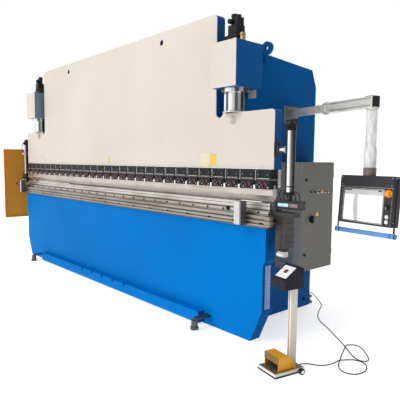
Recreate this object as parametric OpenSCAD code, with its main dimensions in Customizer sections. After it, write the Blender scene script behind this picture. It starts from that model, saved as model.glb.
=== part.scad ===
// Hydraulic press brake with a five-metre bed, a ram on two cylinders, a motorised back gauge,
// a control panel on a two-link arm and a foot switch on a wheeled stand.
// X runs along the bed to the right, Y runs to the rear and Z is up. The floor is Z = 0, the ram's
// front face is Y = 0 and the middle of the bed is X = 0. All sizes are in millimetres.

/* [Bed and table] */
// Half of the length of the bed plate
bed_half = 2470; // [2460:1:2480]
// Front face of the bed plate
bed_front = -40; // [-42:1:-38]
// Line along which the punch and the die meet
tool_y = 20; // [19:1:21]
// Height of the top of the die
die_top = 1160; // [1158:1:1162]
// Width of the opening of the V in the die
die_v = 40; // [24:1:50]

/* [Ram] */
// Half of the length of the ram between its ends
ram_half = 2500; // [2495:1:2505]
// Half of the length of the tall part of the ram
ram_tall_half = 1837; // [1830:1:1840]
// Height of the top of the ram
ram_top = 2766; // [2740:1:2790]
// Number of punch clamps
clamp_count = 29; // [27:1:29]
// Length of one punch clamp
clamp_len = 150; // [140:1:152]
// Height of the punch tip
punch_tip = 1168; // [1167:1:1170]

/* [Side frames] */
// Depth of the throat behind the bed
throat_depth = 400; // [380:5:420]
// Height of the throat
throat_h = 600; // [580:5:600]

/* [Cylinders] */
// Distance of each cylinder axis from the middle
cyl_x = 2044; // [2043:1:2045]
// Distance of each cylinder axis behind the ram's front face
cyl_y = 30; // [29:1:31]
// Radius of a piston rod
rod_r = 80; // [76:1:80]

/* [Control panel and arm] */
// Height of the middle of the arm
arm_z = 1950; // [1945:1:1955]
// Length of the first link between its pins
link1_len = 414; // [405:1:425]
// Length of the second link from its pin to the pendant
link2_len = 510; // [500:1:520]
// Width of the control panel
panel_w = 462; // [450:1:475]
// Height of the control panel
panel_h = 373; // [368:1:380]

/* [Foot switch stand] */
// Width of the stand's base
stand_w = 200; // [196:1:210]
// Depth of the stand's base
stand_d = 265; // [262:1:270]

/* [Hidden] */
$fn = 48;

blue = [0.02, 0.42, 0.78];
cream = [0.9, 0.88, 0.84];
steel = [0.62, 0.6, 0.57];
dark = [0.08, 0.08, 0.09];
grey = [0.45, 0.45, 0.42];
silver = [0.75, 0.75, 0.76];
amber = [0.85, 0.55, 0.1];

gap = 0.4;          // clearance between pieces that move against each other
fit = 0.05;         // radial clearance of a pin in its bore

// bed and table levels
bed_back = 80;
bed_top = 965;
rail_top = 1012;
wedge_top = 1044;
plate_top = 1100;

// ram levels
ram_t = 100;
ram_low = 1429;
shoulder_z = 1904;
clamp_low = 1273;
clamp_pitch = 2 * ram_half / clamp_count;

// side frames
frame_in = 1974;
frame_out = 2054;
frame_front = 112;
frame_head_front = 150;
throat_low = 880;

// cylinder housings
house_in = 1900;
house_out = 2190;
house_front = -125;
house_back = 202;
house_low = 2105;
house_top = 2476;
barrel_r = 112;
piston_r = 99;

// side guard and its hinge pins
guard_x = -2810;
guard_pin_y = 222;

// electrical cabinet on the right frame
cab_out = 2331;
door_out = 2349;
cab_y0 = 591;
cab_y1 = 1096;
cab_z0 = 487;
cab_z1 = 1491;
cab_wall = 4;
hinge_x = 2338;
hinge_y = 1104;
lock_y = 652;
lock_z = [640, 1329];
button_z = 1217;
button_y = [722, 781];
switch_y = 734;
switch_z = 965;

// control arm
arm_x = 2150;
arm_y = 742;
arm_turn = -15.7;
arm_end_x = arm_x + (link1_len + link2_len) * cos(arm_turn);
arm_end_y = arm_y + (link1_len + link2_len) * sin(arm_turn);
pivot_r = 12;
elbow_r = 10;
swivel_r = 22;
link1_h = 64;
link2_h = 82;
link2_wall = 6;

// control panel, in its own frame: x across, y to the back, z up from its top edge
panel_top_z = 1390;
panel_turn = -6.7;
panel_lean = 4.4;
panel_shift = 15;
panel_front = -46;
panel_back = 44;
control_x = 188;
estop_z = -128;
selector_z = -224;
panel_button_z = [-335, -298];
grip_z = -435;
grip_y = -30;

// foot switch stand, in its own frame: x to its right edge, y to the back, z up from the floor
stand_x = 2891;
stand_y = -409;
stand_turn = -12;
base_h = 30;
hood_x0 = -180;
hood_w = 155;
hood_y0 = 45;
hood_len = 150;
hood_h = 100;
pedal_pin_y = 178;
pedal_pin_z = 58;
wheel_y = 212;
wheel_z = 22;
wheel_r = 21.5;

// pedal cable: its centre line from the frame's gland to the stand's gland
cable_r = 4;
cable_sides = 8;
route = [
  [2014, 1206, 110], [2014, 1236, 108], [2019, 1262, 98], [2034, 1284, 80], [2056, 1298, 54],
  [2082, 1302, 30], [2110, 1292, 13], [2140, 1268, 5], [2174, 1222, 4], [2206, 1160, 4],
  [2238, 1090, 4], [2280, 1010, 4], [2326, 935, 4], [2380, 868, 4], [2440, 812, 4],
  [2510, 762, 4], [2590, 706, 4], [2670, 645, 4], [2750, 583, 4], [2820, 528, 4],
  [2880, 480, 4], [2930, 437, 4], [2975, 398, 4], [3020, 358, 4], [3065, 326, 4],
  [3108, 310, 4], [3142, 318, 4], [3158, 346, 4], [3148, 384, 4], [3120, 424, 4],
  [3080, 466, 4], [3038, 508, 4], [2994, 542, 4], [2952, 552, 4], [2920, 532, 4],
  [2906, 496, 8], [2912, 455, 13], [2926, 418, 12], [2942, 376, 7], [2962, 322, 4],
  [2988, 262, 4], [3014, 204, 4], [3040, 148, 4], [3068, 98, 4], [3104, 62, 4],
  [3148, 46, 4], [3192, 58, 4], [3222, 94, 4], [3234, 144, 4], [3228, 198, 4],
  [3206, 248, 4], [3172, 284, 4], [3130, 298, 4], [3088, 288, 4], [3056, 258, 4],
  [3038, 216, 8], [3030, 186, 13], [3024, 152, 13], [3018, 120, 8], [3012, 96, 5],
  [3002, 64, 4], [2988, 34, 4], [2970, 10, 4], [2948, -8, 4], [2926, -22, 5],
  [2907, -38, 7], [2893, -56, 10], [2885, -75, 13], [2881, -95, 15], [2876.9, -114.6, 15]
];

// ---------------------------------------------------------------- shared shapes

// A profile in Y and Z, drawn out along X from x0 to x1
module along_x(x0, x1) {
  translate([x0, 0, 0]) rotate([90, 0, 90]) linear_extrude(x1 - x0) children();
}

// A profile in X and Z, drawn out along Y from y0 to y1
module along_y(y0, y1) {
  translate([0, y1, 0]) rotate([90, 0, 0]) linear_extrude(y1 - y0) children();
}

// A block between two opposite corners
module block(low, high) {
  translate(low) cube(high - low);
}

// The same piece on both sides of the machine
module both_sides() {
  children();
  mirror([1, 0, 0]) children();
}

// A round bar between two points
module bar(p, q, r) {
  d = q - p;
  translate(p) rotate([0, acos(d.z / norm(d)), atan2(d.y, d.x)]) cylinder(h = norm(d), r = r);
}

// A bent pipe through a list of points
module pipe(points, r) {
  for (i = [0 : len(points) - 2]) bar(points[i], points[i + 1], r);
  for (i = [1 : len(points) - 2]) translate(points[i]) sphere(r = r);
}

// A flat rectangle with round corners on its high-Y or high-X side only
module round_end(low, high, r) {
  translate(low) square([high.x - low.x - r, high.y - low.y]);
  translate([low.x, low.y + r]) square([high.x - low.x, high.y - low.y - 2 * r]);
  for (y = [low.y + r, high.y - r]) translate([high.x - r, y]) circle(r);
}

// A flat rectangle with round upper corners
module round_top(low, high, r) {
  translate(low) square([high.x - low.x, high.y - low.y - r]);
  translate([low.x + r, low.y]) square([high.x - low.x - 2 * r, high.y - low.y]);
  for (x = [low.x + r, high.x - r]) translate([x, high.y - r]) circle(r);
}

// ---------------------------------------------------------------- bed and side frames

module bed_plate() {
  foot_half = 2320;
  color(blue) along_y(bed_front, bed_back) polygon([
    [-foot_half, 0], [foot_half, 0], [bed_half - 24, 281], [bed_half - 24, 663],
    [bed_half, 700], [bed_half, bed_top], [-bed_half, bed_top], [-bed_half, 700],
    [-bed_half + 24, 663], [-bed_half + 24, 281]]);
}

// Toe plate along the foot of the bed, with five slots for its hold-down bolts
module toe_apron() {
  apron_half = 1750;
  apron_front = -115;
  lip_z = 112;
  slot_pitch = 245;
  color(blue) difference() {
    block([-apron_half, apron_front, 14], [apron_half, bed_front, lip_z + 8]);
    block([-apron_half + 8, apron_front + 8, 6], [apron_half - 8, bed_front + 1, lip_z]);
    for (i = [-2 : 2]) block([i * slot_pitch - 11, apron_front - 1, 84],
                             [i * slot_pitch + 11, apron_front + 26, lip_z + 9]);
  }
}

// Levelling screws with round pads, in brackets in front of the bed and at the rear feet
module levelling_feet() {
  color(steel) both_sides() {
    translate([1815, -212, 0]) cylinder(h = 24, r = 38);
    translate([1815, -212, 24]) cylinder(h = 60, r = 30);
    block([1785, -212, 84], [1845, bed_front, 100]);
    translate([2014, 1230, 0]) {
      cylinder(h = 20, r = 34);
      translate([0, 0, 20]) cylinder(h = 70, r = 14);
    }
    block([1990, 1180, 60], [2038, 1252, 80]);
  }
}

// C-shaped side plate with its throat, two feet, a transport hole and a lifting lug
module frame_plate() {
  rear = 1180;
  throat_r = 80;
  lug = [2094, 375, 2493];
  color(blue) difference() {
    union() {
      difference() {
        along_x(frame_in, frame_out) difference() {
          polygon([[bed_back, 0], [bed_back, 1200], [frame_front, 1200], [frame_front, 2060],
                   [frame_head_front, 2060], [frame_head_front, 2469], [1117, 2406],
                   [rear + 7, 2248], [rear, 300], [rear, 0]]);
          round_end([0, throat_low], [bed_back + throat_depth, throat_low + throat_h], throat_r);
          translate([460, -1]) square([480, 21]);
        }
        translate([frame_in - 1, 1080, 80]) rotate([0, 90, 0]) cylinder(h = 100, r = 22);
      }
      translate([0, lug.y - 18, 0]) along_y(0, 36) {
        translate([lug.x, lug.z]) circle(55);
        translate([frame_out - 20, 2370]) square([lug.x + 20 - frame_out, lug.z - 2370]);
      }
    }
    translate([lug.x, lug.y + 30, lug.z]) rotate([90, 0, 0]) cylinder(h = 60, r = 22);
  }
}

module right_frame() frame_plate();
module left_frame() mirror([1, 0, 0]) frame_plate();

module rear_tie_beams() {
  wall = 14;
  color(blue) {
    difference() {
      block([-frame_in, 700, 1700], [frame_in, 900, 1860]);
      block([-frame_in - 1, 700 + wall, 1700 + wall], [frame_in + 1, 900 - wall, 1860 - wall]);
    }
    difference() {
      block([-frame_in, 900, 60], [frame_in, 1020, 180]);
      block([-frame_in - 1, 900 + wall, 60 + wall], [frame_in + 1, 1020 - wall, 180 - wall]);
    }
  }
}

// Guide rails on the frames, on which the ram's back runs
module ram_guide_rails() {
  color(steel) both_sides()
    block([frame_in - 20, ram_t + gap, 1560], [frame_out + 20, frame_front, 1890]);
}

// ---------------------------------------------------------------- cylinders and hydraulics

module cylinder_housings() {
  color(cream) both_sides() difference() {
    union() {
      block([house_in, house_front, house_low], [house_out, house_back, house_top]);
      block([frame_out, 180, 2034], [2144, 200, house_low]);
    }
    block([frame_in, frame_head_front, house_low - 1], [frame_out, house_back + 1, house_top + 1]);
    translate([cyl_x, cyl_y, house_low - 1]) cylinder(h = 346, r = barrel_r + 0.2);
    translate([cyl_x, cyl_y, house_top - 40]) cylinder(h = 60, r = 24);
  }
}

// Barrel with its gland flange below the housing
module cylinder_barrels() {
  flange_h = 35;
  color(silver) both_sides() translate([cyl_x, cyl_y, house_low - flange_h]) difference() {
    union() {
      cylinder(h = flange_h, r = 119);
      translate([0, 0, flange_h]) cylinder(h = 335, r = barrel_r);
    }
    translate([0, 0, -1]) cylinder(h = flange_h + 2, r = rod_r + gap);
    translate([0, 0, flange_h]) cylinder(h = 340, r = piston_r + gap);
  }
}

// Prefill valve, pilot solenoids and elbow on top of each housing
module prefill_valves() {
  color(dark) both_sides() translate([cyl_x, cyl_y, house_top]) {
    block([-60, -50, 0], [60, 50, 26]);
    block([-50, -50, 26], [50, 50, 150]);
    block([10, -38, 150], [50, 38, 214]);
    translate([-22, 0, 150]) cylinder(h = 98, r = 26);
    translate([-22, 0, 180]) rotate([90, 0, 0]) cylinder(h = 66, r = 21);
    translate([-50, -20, 60]) rotate([0, -90, 0]) cylinder(h = 30, r = 22);
    translate([-94, -20, 0]) cylinder(h = 74, r = 21);
  }
}

module hydraulic_pipes() {
  pipe_r = 16;
  run_y = 780;
  color(dark) {
    pipe([[540, run_y, 2330], [1700, run_y, 2330], [1700, 165, 2330], [house_in, 165, 2330]],
         pipe_r);
    pipe([[400, run_y, 2380], [400, run_y, 2530], [-1700, run_y, 2530], [-1700, run_y, 2330],
          [-1700, 165, 2330], [-house_in, 165, 2330]], pipe_r);
  }
}

// Closed oil tank with its breather cap and a clean-out cover, on the upper tie beam
module oil_tank() {
  wall = 6;
  tank_z = 1860;
  tank_h = 380;
  color(blue) difference() {
    union() {
      block([-800, 560, tank_z], [800, 1000, tank_z + tank_h]);
      translate([-620, 900, tank_z + tank_h]) cylinder(h = 60, r = 45);
      block([-300, 1000, tank_z + 90], [300, 1012, tank_z + 330]);
    }
    block([-800 + wall, 560 + wall, tank_z + wall],
          [800 - wall, 1000 - wall, tank_z + tank_h - wall]);
  }
}

// Electric motor, pump and valve manifold on the tank
module pump_motor() {
  deck = 2240;
  axis_z = deck + 140;
  color(dark) {
    translate([-220, 780, axis_z]) rotate([0, 90, 0]) cylinder(h = 360, r = 120);
    translate([-280, 780, axis_z]) rotate([0, 90, 0]) cylinder(h = 60, r = 100);
    translate([140, 780, axis_z]) rotate([0, 90, 0]) cylinder(h = 70, r = 84);
    translate([210, 780, axis_z]) rotate([0, 90, 0]) cylinder(h = 120, r = 60);
    for (x = [-170, 40]) block([x, 690, deck], [x + 50, 870, deck + 60]);
    block([-120, 640, axis_z - 40], [20, 670, axis_z + 60]);
    block([330, 700, deck], [540, 860, deck + 140]);
  }
}

// ---------------------------------------------------------------- table, die and front rail

module table_rail() {
  color(steel) along_x(-ram_half, ram_half) difference() {
    translate([-56, bed_top]) square([152, wedge_top - 2 - bed_top]);
    translate([-30, rail_top]) square([100, 40]);
    translate([-60, rail_top - 22]) square([12, 8]);
  }
}

// Wedge bar of the crowning system, in the channel of the table rail
module crowning_wedge() {
  color(silver) difference() {
    block([-2440, -30 + gap, rail_top + gap], [2440, 70 - gap, wedge_top - 4]);
    for (x = [-2200 : 400 : 2200]) block([x - 60, -10, wedge_top - 14], [x + 60, 50, wedge_top]);
  }
}

module table_plate() {
  color(steel) along_x(-ram_half, ram_half) difference() {
    translate([-52, wedge_top - 2]) square([144, plate_top - wedge_top + 2]);
    translate([-60, wedge_top + 16]) square([14, 10]);
    translate([tool_y - 8, plate_top - 24]) square([16, 30]);
  }
}

// Die with its V, held in the groove of the table plate
module lower_die() {
  color(silver) along_x(-ram_half + 20, ram_half - 20) difference() {
    union() {
      translate([tool_y - 30, plate_top]) square([60, die_top - plate_top]);
      translate([tool_y - 8, plate_top - 24]) square([16, 26]);
    }
    polygon([[tool_y - die_v / 2, die_top + 0.1], [tool_y, die_top - die_v / 2],
             [tool_y + die_v / 2, die_top + 0.1]]);
  }
}

// Slotted rail in front of the table for the sheet supports, and its end blocks
module front_rail() {
  color(silver) {
    along_x(-ram_half, ram_half) difference() {
      translate([-92, 984]) square([36, 82]);
      translate([-93, 1000]) square([15, 12]);
      translate([-93, 1034]) square([15, 12]);
    }
    both_sides() block([ram_half, -100, 988], [ram_half + 52, -52, 1064]);
  }
}

// Geared motor that sets the crowning, its brackets and its plug
module crowning_drive() {
  color(dark) {
    block([2506, 0, 1100], [2530, 80, 1180]);
    block([ram_half, -4, 1066], [2700, 90, 1100]);
    block([2536, 0, 818], [2628, 112, 1066]);
    translate([2582, 56, 790]) cylinder(h = 28, r = 40);
    block([2552, 10, 748], [2616, 60, 790]);
  }
}

// ---------------------------------------------------------------- back gauge

module gauge_rails() {
  color(grey) {
    both_sides() {
      block([1340, bed_back, 850], [1460, 880, 936]);
      block([1390, bed_back + 20, 936], [1410, 870, 950]);
    }
    block([1350, 880, 855], [1450, 1000, 935]);
  }
}

// Saddles and cross beam of the back gauge, with a rail for its fingers
module gauge_beam() {
  color(steel) {
    both_sides() difference() {
      union() {
        block([1330, 380, 936 + gap], [1470, 520, 985]);
        block([1350, 400, 985], [1450, 490, 1085]);
      }
      block([1390 - gap, 370, 930], [1410 + gap, 530, 950 + gap]);
    }
    block([-1700, 400, 1085], [1700, 490, 1150]);
  }
}

// Stop finger on a saddle that slides along the beam
module gauge_finger(x) {
  color(silver) translate([x, 0, 0]) {
    difference() {
      block([-40, 385, 1110], [40, 505, 1176]);
      block([-41, 400 - gap, 1109], [41, 490 + gap, 1150 + gap]);
    }
    block([-18, 318, 1158], [18, 385, 1176]);
    block([-24, 306, 1150], [24, 318, 1190]);
  }
}

module gauge_finger_left() gauge_finger(-700);
module gauge_finger_right() gauge_finger(700);

// ---------------------------------------------------------------- ram and tooling

module ram_plate() {
  relief_r = 45;
  color(cream) along_y(0, ram_t) difference() {
    union() {
      round_top([-ram_half, ram_low], [ram_half, shoulder_z], 30);
      round_top([-ram_tall_half, ram_low], [ram_tall_half, ram_top], 40);
    }
    for (side = [-1, 1]) {
      translate([side * (ram_tall_half + relief_r), shoulder_z + 12]) circle(relief_r);
      translate([side * 1035, ram_top - 100]) circle(28);
    }
  }
}

module piston_rods() {
  color(silver) both_sides() {
    translate([cyl_x, cyl_y, shoulder_z]) cylinder(h = 340, r = rod_r);
    translate([cyl_x, cyl_y, shoulder_z + 340]) cylinder(h = 46, r = piston_r);
  }
}

// Steel bar behind the clamps
module backing_bar() {
  color(silver) block([-ram_half, 60, clamp_low + 10], [ram_half, 92, ram_low]);
}

// Two-step clamp bodies in a row, each with its slot for the punch tang
module punch_clamps() {
  color(dark) for (i = [0 : clamp_count - 1])
    translate([-ram_half + (i + 0.5) * clamp_pitch, 0, 0])
      along_x(-clamp_len / 2, clamp_len / 2) difference() {
        union() {
          translate([-18, 1350]) square([78, ram_low - 1350]);
          translate([-30, clamp_low]) square([90, 70]);
          translate([-10, 1343]) square([70, 8]);
        }
        translate([tool_y - 8, clamp_low - 1]) square([16, 34]);
      }
}

// Cap screws and adjusting screws on the faces of the clamps
module clamp_bolts() {
  bolt_r = 9;
  color(silver) for (i = [0 : clamp_count - 1])
    translate([-ram_half + (i + 0.5) * clamp_pitch, 0, 0]) {
      for (x = [-50, 50]) translate([x, -18, 1390]) rotate([90, 0, 0]) cylinder(h = 8, r = bolt_r);
      for (x = [-45, 0, 45]) translate([x, -30, 1308]) rotate([90, 0, 0])
        cylinder(h = 10, r = bolt_r);
    }
}

module upper_punch() {
  color(silver) along_x(-ram_half, ram_half) polygon([
    [tool_y - 8, clamp_low], [tool_y - 8, clamp_low + 32], [tool_y + 8, clamp_low + 32],
    [tool_y + 8, clamp_low], [tool_y + 26, clamp_low], [tool_y + 26, 1222],
    [tool_y + 1, punch_tip], [tool_y - 1, punch_tip], [tool_y - 26, 1222],
    [tool_y - 26, clamp_low]]);
}

// Column, receiver and bracket of the light guard at one end of the ram
module laser_guard() {
  post_x = 2640;
  post_y = 27;
  color(dark) {
    translate([post_x, post_y, 1240]) cylinder(h = 536, r = 38);
    translate([post_x, post_y, 1776]) cylinder(h = 24, r = 30);
    block([post_x - 46, post_y - 12, 1776], [post_x + 46, post_y + 12, 1800]);
    translate([post_x, post_y, 1196]) cylinder(h = 44, r = 20);
    block([2552, -12, 1128], [2764, 64, 1196]);
    block([ram_half + gap, post_y - 20, 1560], [post_x, post_y + 20, 1610]);
    block([ram_half + gap, post_y - 26, 1530], [ram_half + 14, post_y + 26, 1640]);
  }
}

module laser_right() laser_guard();
module laser_left() mirror([1, 0, 0]) laser_guard();

// ---------------------------------------------------------------- sheet supports and side guard

// Clamp block on the front rail, its backing plate and its ball handle
module sheet_support(handle_len) {
  rail_face = -92;
  color(silver) {
    block([-70, -150, 984], [0, rail_face - gap, 1166]);
    block([0, -158, 984], [16, rail_face - gap, 1176]);
    block([-70, -150, 1066 + gap], [16, -60, 1084]);
    bar([-70, -122, 1107], [-70 - handle_len, -122, 1107], 6);
    translate([-70 - handle_len, -122, 1107]) rotate([0, 90, 0]) {
      translate([0, 0, -19]) cylinder(h = 10, r1 = 11, r2 = 19);
      translate([0, 0, -9]) cylinder(h = 18, r = 19);
      translate([0, 0, 9]) cylinder(h = 10, r1 = 19, r2 = 11);
    }
  }
}

module sheet_support_right() translate([2290, 0, 0]) sheet_support(90);
module sheet_support_left() translate([-2410, 0, 0]) sheet_support(190);

// Post at the left end of the bed with the lower halves of two hinges
module guard_post() {
  color(dark) {
    block([guard_x - 20, 244, 560], [guard_x + 20, 284, 1640]);
    for (z = [620, 800]) block([guard_x + 20, 250, z], [-frame_out, 278, z + 50]);
    for (z = [640, 1500]) {
      block([guard_x - 8, guard_pin_y, z], [guard_x + 8, 244, z + 30]);
      translate([guard_x, guard_pin_y, z]) cylinder(h = 30, r = 10);
      translate([guard_x, guard_pin_y, z + 30]) cylinder(h = 30, r = 5);
    }
  }
}

// Framed guard panel with the upper halves of its hinges
module side_guard() {
  front = -276;
  back = 200;
  color(amber) {
    difference() {
      union() {
        difference() {
          block([guard_x - 12, front, 550], [guard_x + 12, back, 1655]);
          block([guard_x - 13, front + 22, 572], [guard_x + 13, back - 22, 1633]);
        }
        block([guard_x - 2, front + 20, 570], [guard_x + 2, back - 20, 1635]);
        for (z = [670 + gap, 1530 + gap]) {
          block([guard_x - 6, back - 1, z], [guard_x + 6, guard_pin_y, z + 28]);
          translate([guard_x, guard_pin_y, z]) cylinder(h = 28, r = 10);
        }
      }
      for (z = [660, 1520]) translate([guard_x, guard_pin_y, z]) cylinder(h = 50, r = 5 + fit);
    }
  }
}

// ---------------------------------------------------------------- electrical cabinet

module cabinet_shell() {
  color(grey) {
    difference() {
      block([frame_out, cab_y0, cab_z0], [cab_out, cab_y1, cab_z1]);
      block([frame_out + cab_wall, cab_y0 + cab_wall, cab_z0 + cab_wall],
            [cab_out + 1, cab_y1 - cab_wall, cab_z1 - cab_wall]);
    }
    for (z = [600, 1350]) {
      block([hinge_x - 20, cab_y1, z], [hinge_x, hinge_y, z + 25]);
      translate([hinge_x, hinge_y, z]) cylinder(h = 25, r = 7);
      translate([hinge_x, hinge_y, z + 25]) cylinder(h = 25, r = 4);
    }
  }
}

// Mounting plate with breakers, a contactor row and wiring ducts
module switchgear() {
  plate_x = frame_out + cab_wall;
  color(silver) {
    block([plate_x, 640, 540], [plate_x + 12, 1050, 1440]);
    for (z = [620 : 200 : 1220]) block([plate_x + 12, 670, z], [plate_x + 40, 1020, z + 40]);
    for (y = [680 : 60 : 980]) block([plate_x + 12, y, 1300], [plate_x + 90, y + 44, 1390]);
    for (y = [680 : 80 : 920]) block([plate_x + 12, y, 1080], [plate_x + 80, y + 60, 1170]);
    block([plate_x + 12, 700, 700], [plate_x + 150, 900, 800]);
  }
}

// Door with its folded edge, hinge knuckles, two button collars and the bores of its controls
module cabinet_door() {
  skin = 3;
  door_y1 = 1093;
  color(grey) difference() {
    union() {
      difference() {
        block([cab_out + gap, cab_y0, cab_z0], [door_out, door_y1, cab_z1]);
        block([cab_out, cab_y0 + skin, cab_z0 + skin],
              [door_out - skin, door_y1 - skin, cab_z1 - skin]);
      }
      for (z = [625 + gap, 1375 + gap]) {
        block([hinge_x, door_y1 - 1, z], [hinge_x + 8, hinge_y, z + 24]);
        translate([hinge_x, hinge_y, z]) cylinder(h = 24, r = 7);
      }
      for (y = button_y) translate([door_out, y, button_z]) rotate([0, 90, 0])
        cylinder(h = 6, r = 17);
      translate([door_out, switch_y, switch_z]) rotate([0, 90, 0]) cylinder(h = 4, r = 34);
    }
    for (z = [620, 1370]) translate([hinge_x, hinge_y, z]) cylinder(h = 40, r = 4 + fit);
    for (y = button_y) translate([door_out - 10, y, button_z]) rotate([0, 90, 0])
      cylinder(h = 30, r = 12 + gap);
    for (z = lock_z) translate([door_out - 10, lock_y, z]) rotate([0, 90, 0])
      cylinder(h = 30, r = 8 + fit);
    translate([door_out - 10, switch_y, switch_z]) rotate([0, 90, 0]) cylinder(h = 30, r = 8 + fit);
  }
}

// Push button with a shoulder behind the door
module push_button(place, cap_r, proud) {
  translate(place) rotate([0, 90, 0]) {
    translate([0, 0, -6]) cylinder(h = 6 + proud, r = cap_r);
    translate([0, 0, -9]) cylinder(h = 3, r = cap_r + 3);
  }
}

module door_button_left() color(dark) push_button([door_out, button_y[0], button_z], 12, 12);
module door_button_right() color(dark) push_button([door_out, button_y[1], button_z], 12, 12);

module main_switch() {
  color(dark) translate([door_out, switch_y, switch_z]) {
    translate([-12, 0, 0]) rotate([0, 90, 0]) cylinder(h = 20, r = 8);
    translate([4 + gap, 0, 0]) rotate([0, 90, 0]) cylinder(h = 12, r = 30);
    block([14, -9, -34], [34, 9, 34]);
    translate([-16, 0, 0]) rotate([0, 90, 0]) cylinder(h = 8, r = 16);
  }
}

// Quarter-turn lock with its cam behind the door
module door_lock(z) {
  color(dark) translate([door_out, lock_y, z]) {
    translate([-14, 0, 0]) rotate([0, 90, 0]) cylinder(h = 15, r = 8);
    translate([gap, 0, 0]) rotate([0, 90, 0]) cylinder(h = 5, r = 14);
    block([5, -2, -10], [9, 2, 10]);
    block([-14, -46, -7], [-10, 8, 7]);
  }
}

module door_lock_lower() door_lock(lock_z[0]);
module door_lock_upper() door_lock(lock_z[1]);

// ---------------------------------------------------------------- control arm and panel

// Places children in the frame of the arm: x along it from its wall pin, z from its middle
module arm_place() {
  translate([arm_x, arm_y, arm_z]) rotate([0, 0, arm_turn]) children();
}

// Places children in the frame of the panel
module panel_place() {
  translate([arm_end_x, arm_end_y, panel_top_z]) rotate([0, 0, panel_turn])
    translate([panel_shift, 0, 0]) rotate([-panel_lean, 0, 0]) children();
}

// Wall plate with two ears and the pin of the first link
module arm_bracket() {
  ear_z = link1_h / 2 + 1;
  color(grey) {
    block([frame_out, arm_y - 60, arm_z - 90], [frame_out + 12, arm_y + 60, arm_z + 70]);
    for (z = [-ear_z - 14, ear_z]) translate([0, 0, arm_z + z]) linear_extrude(14) {
      translate([arm_x, arm_y]) circle(30);
      translate([frame_out, arm_y - 30]) square([arm_x - frame_out, 60]);
    }
    translate([arm_x, arm_y, arm_z - ear_z - 20]) cylinder(h = 2 * ear_z + 40, r = pivot_r);
  }
}

// First link: a box bar with a tongue and a round eye at each pin
module arm_link_1() {
  color(silver) arm_place() difference() {
    translate([0, 0, -link1_h / 2]) linear_extrude(link1_h) {
      circle(30);
      translate([0, -30]) square([link1_len, 60]);
      translate([link1_len, 0]) circle(30);
    }
    translate([0, 0, -60]) cylinder(h = 120, r = pivot_r + fit);
    translate([link1_len, 0, -60]) cylinder(h = 120, r = elbow_r + fit);
  }
}

// Second link: a hollow box bar with a fork, the elbow pin and the pendant's flange
module arm_link_2() {
  inside = link2_h - 2 * link2_wall;
  color(silver) arm_place() translate([link1_len, 0, 0]) {
    difference() {
      union() {
        translate([0, 0, -link2_h / 2]) linear_extrude(link2_h) {
          circle(35);
          translate([0, -35]) square([link2_len + 31, 70]);
        }
        translate([link2_len, 0, -link2_h / 2 - 18]) cylinder(h = 18, r = 47);
      }
      translate([-40, -29, -inside / 2]) cube([link2_len + 67, 58, inside]);
      translate([-40, -40, -inside / 2]) cube([40 + 42, 80, inside]);
      translate([link2_len, 0, -link2_h / 2 - 19]) cylinder(h = 30, r = swivel_r + fit);
    }
    translate([0, 0, -inside / 2]) cylinder(h = inside, r = elbow_r);
  }
}

// Hanging tube with its spigot in the flange, a sleeve and the collar on the panel
module pendant_tube() {
  flange_low = arm_z - link2_h / 2 - 18;
  color(silver) difference() {
    translate([arm_end_x, arm_end_y, 0]) {
      translate([0, 0, 1581]) cylinder(h = flange_low - gap - 1581, r = 36.5);
      translate([0, 0, flange_low - 1]) cylinder(h = 28, r = swivel_r);
      translate([0, 0, flange_low + 24 + gap]) cylinder(h = 8, r = 25);
      translate([0, 0, 1464]) cylinder(h = 117, r = 44);
      translate([0, 0, 1450]) cylinder(h = 14, r = 38);
      translate([0, 0, 1380]) cylinder(h = 70, r = 48);
    }
    panel_place() translate([-300, -80, -400]) cube([600, 200, 400]);
  }
}

// Enclosure with a top visor, the recess of the screen and the bores of the controls
module control_panel() {
  color(dark) panel_place() difference() {
    union() {
      block([-panel_w / 2, panel_front, -panel_h], [panel_w / 2, panel_back, 0]);
      block([-panel_w / 2, panel_front - 8, -88], [panel_w / 2, panel_front, 0]);
    }
    block([-201, panel_front - 1, -356], [147, panel_front + 5, -102]);
    for (z = panel_button_z) translate([control_x, panel_front - 9, z]) rotate([-90, 0, 0])
      cylinder(h = 22, r = 11 + gap);
    translate([control_x, panel_front - 9, estop_z]) rotate([-90, 0, 0])
      cylinder(h = 34, r = 11 + gap);
    translate([control_x, panel_front - 9, selector_z]) rotate([-90, 0, 0])
      cylinder(h = 29, r = 6 + fit);
  }
}

// Side rods and hand grip below the panel
module panel_grip() {
  rod_x = 245;
  grip_half = 262;
  color([0.45, 0.65, 0.85]) panel_place() {
    for (side = [-1, 1]) {
      pipe([[side * panel_w / 2, grip_y, -14], [side * rod_x, grip_y, -14],
            [side * rod_x, grip_y, grip_z]], 6);
      bar([side * panel_w / 2, grip_y, -340], [side * rod_x, grip_y, -340], 5);
    }
    bar([-grip_half, grip_y, grip_z], [grip_half, grip_y, grip_z], 19);
  }
}

// Places a control on the panel's face with its axis along y
module on_panel(z) {
  panel_place() translate([control_x, panel_front, z]) rotate([-90, 0, 0]) children();
}

module panel_estop() {
  color([0.9, 0.5, 0.1]) on_panel(estop_z) {
    translate([0, 0, -8]) cylinder(h = 20, r = 11);
    translate([0, 0, -26]) cylinder(h = 18, r = 20);
  }
}

module panel_selector() {
  color(dark) on_panel(selector_z) {
    cylinder(h = 18, r = 6);
    translate([0, 0, -6 - gap]) cylinder(h = 6, r = 19);
    translate([-5, -18, -20]) cube([10, 36, 14]);
    translate([0, 0, -1]) cylinder(h = 1, r = 6);
  }
}

module panel_button(z) {
  color([0.9, 0.9, 0.9]) on_panel(z) translate([0, 0, -7]) cylinder(h = 14, r = 11);
}

module panel_button_lower() panel_button(panel_button_z[0]);
module panel_button_upper() panel_button(panel_button_z[1]);

// ---------------------------------------------------------------- foot switch stand

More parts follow.
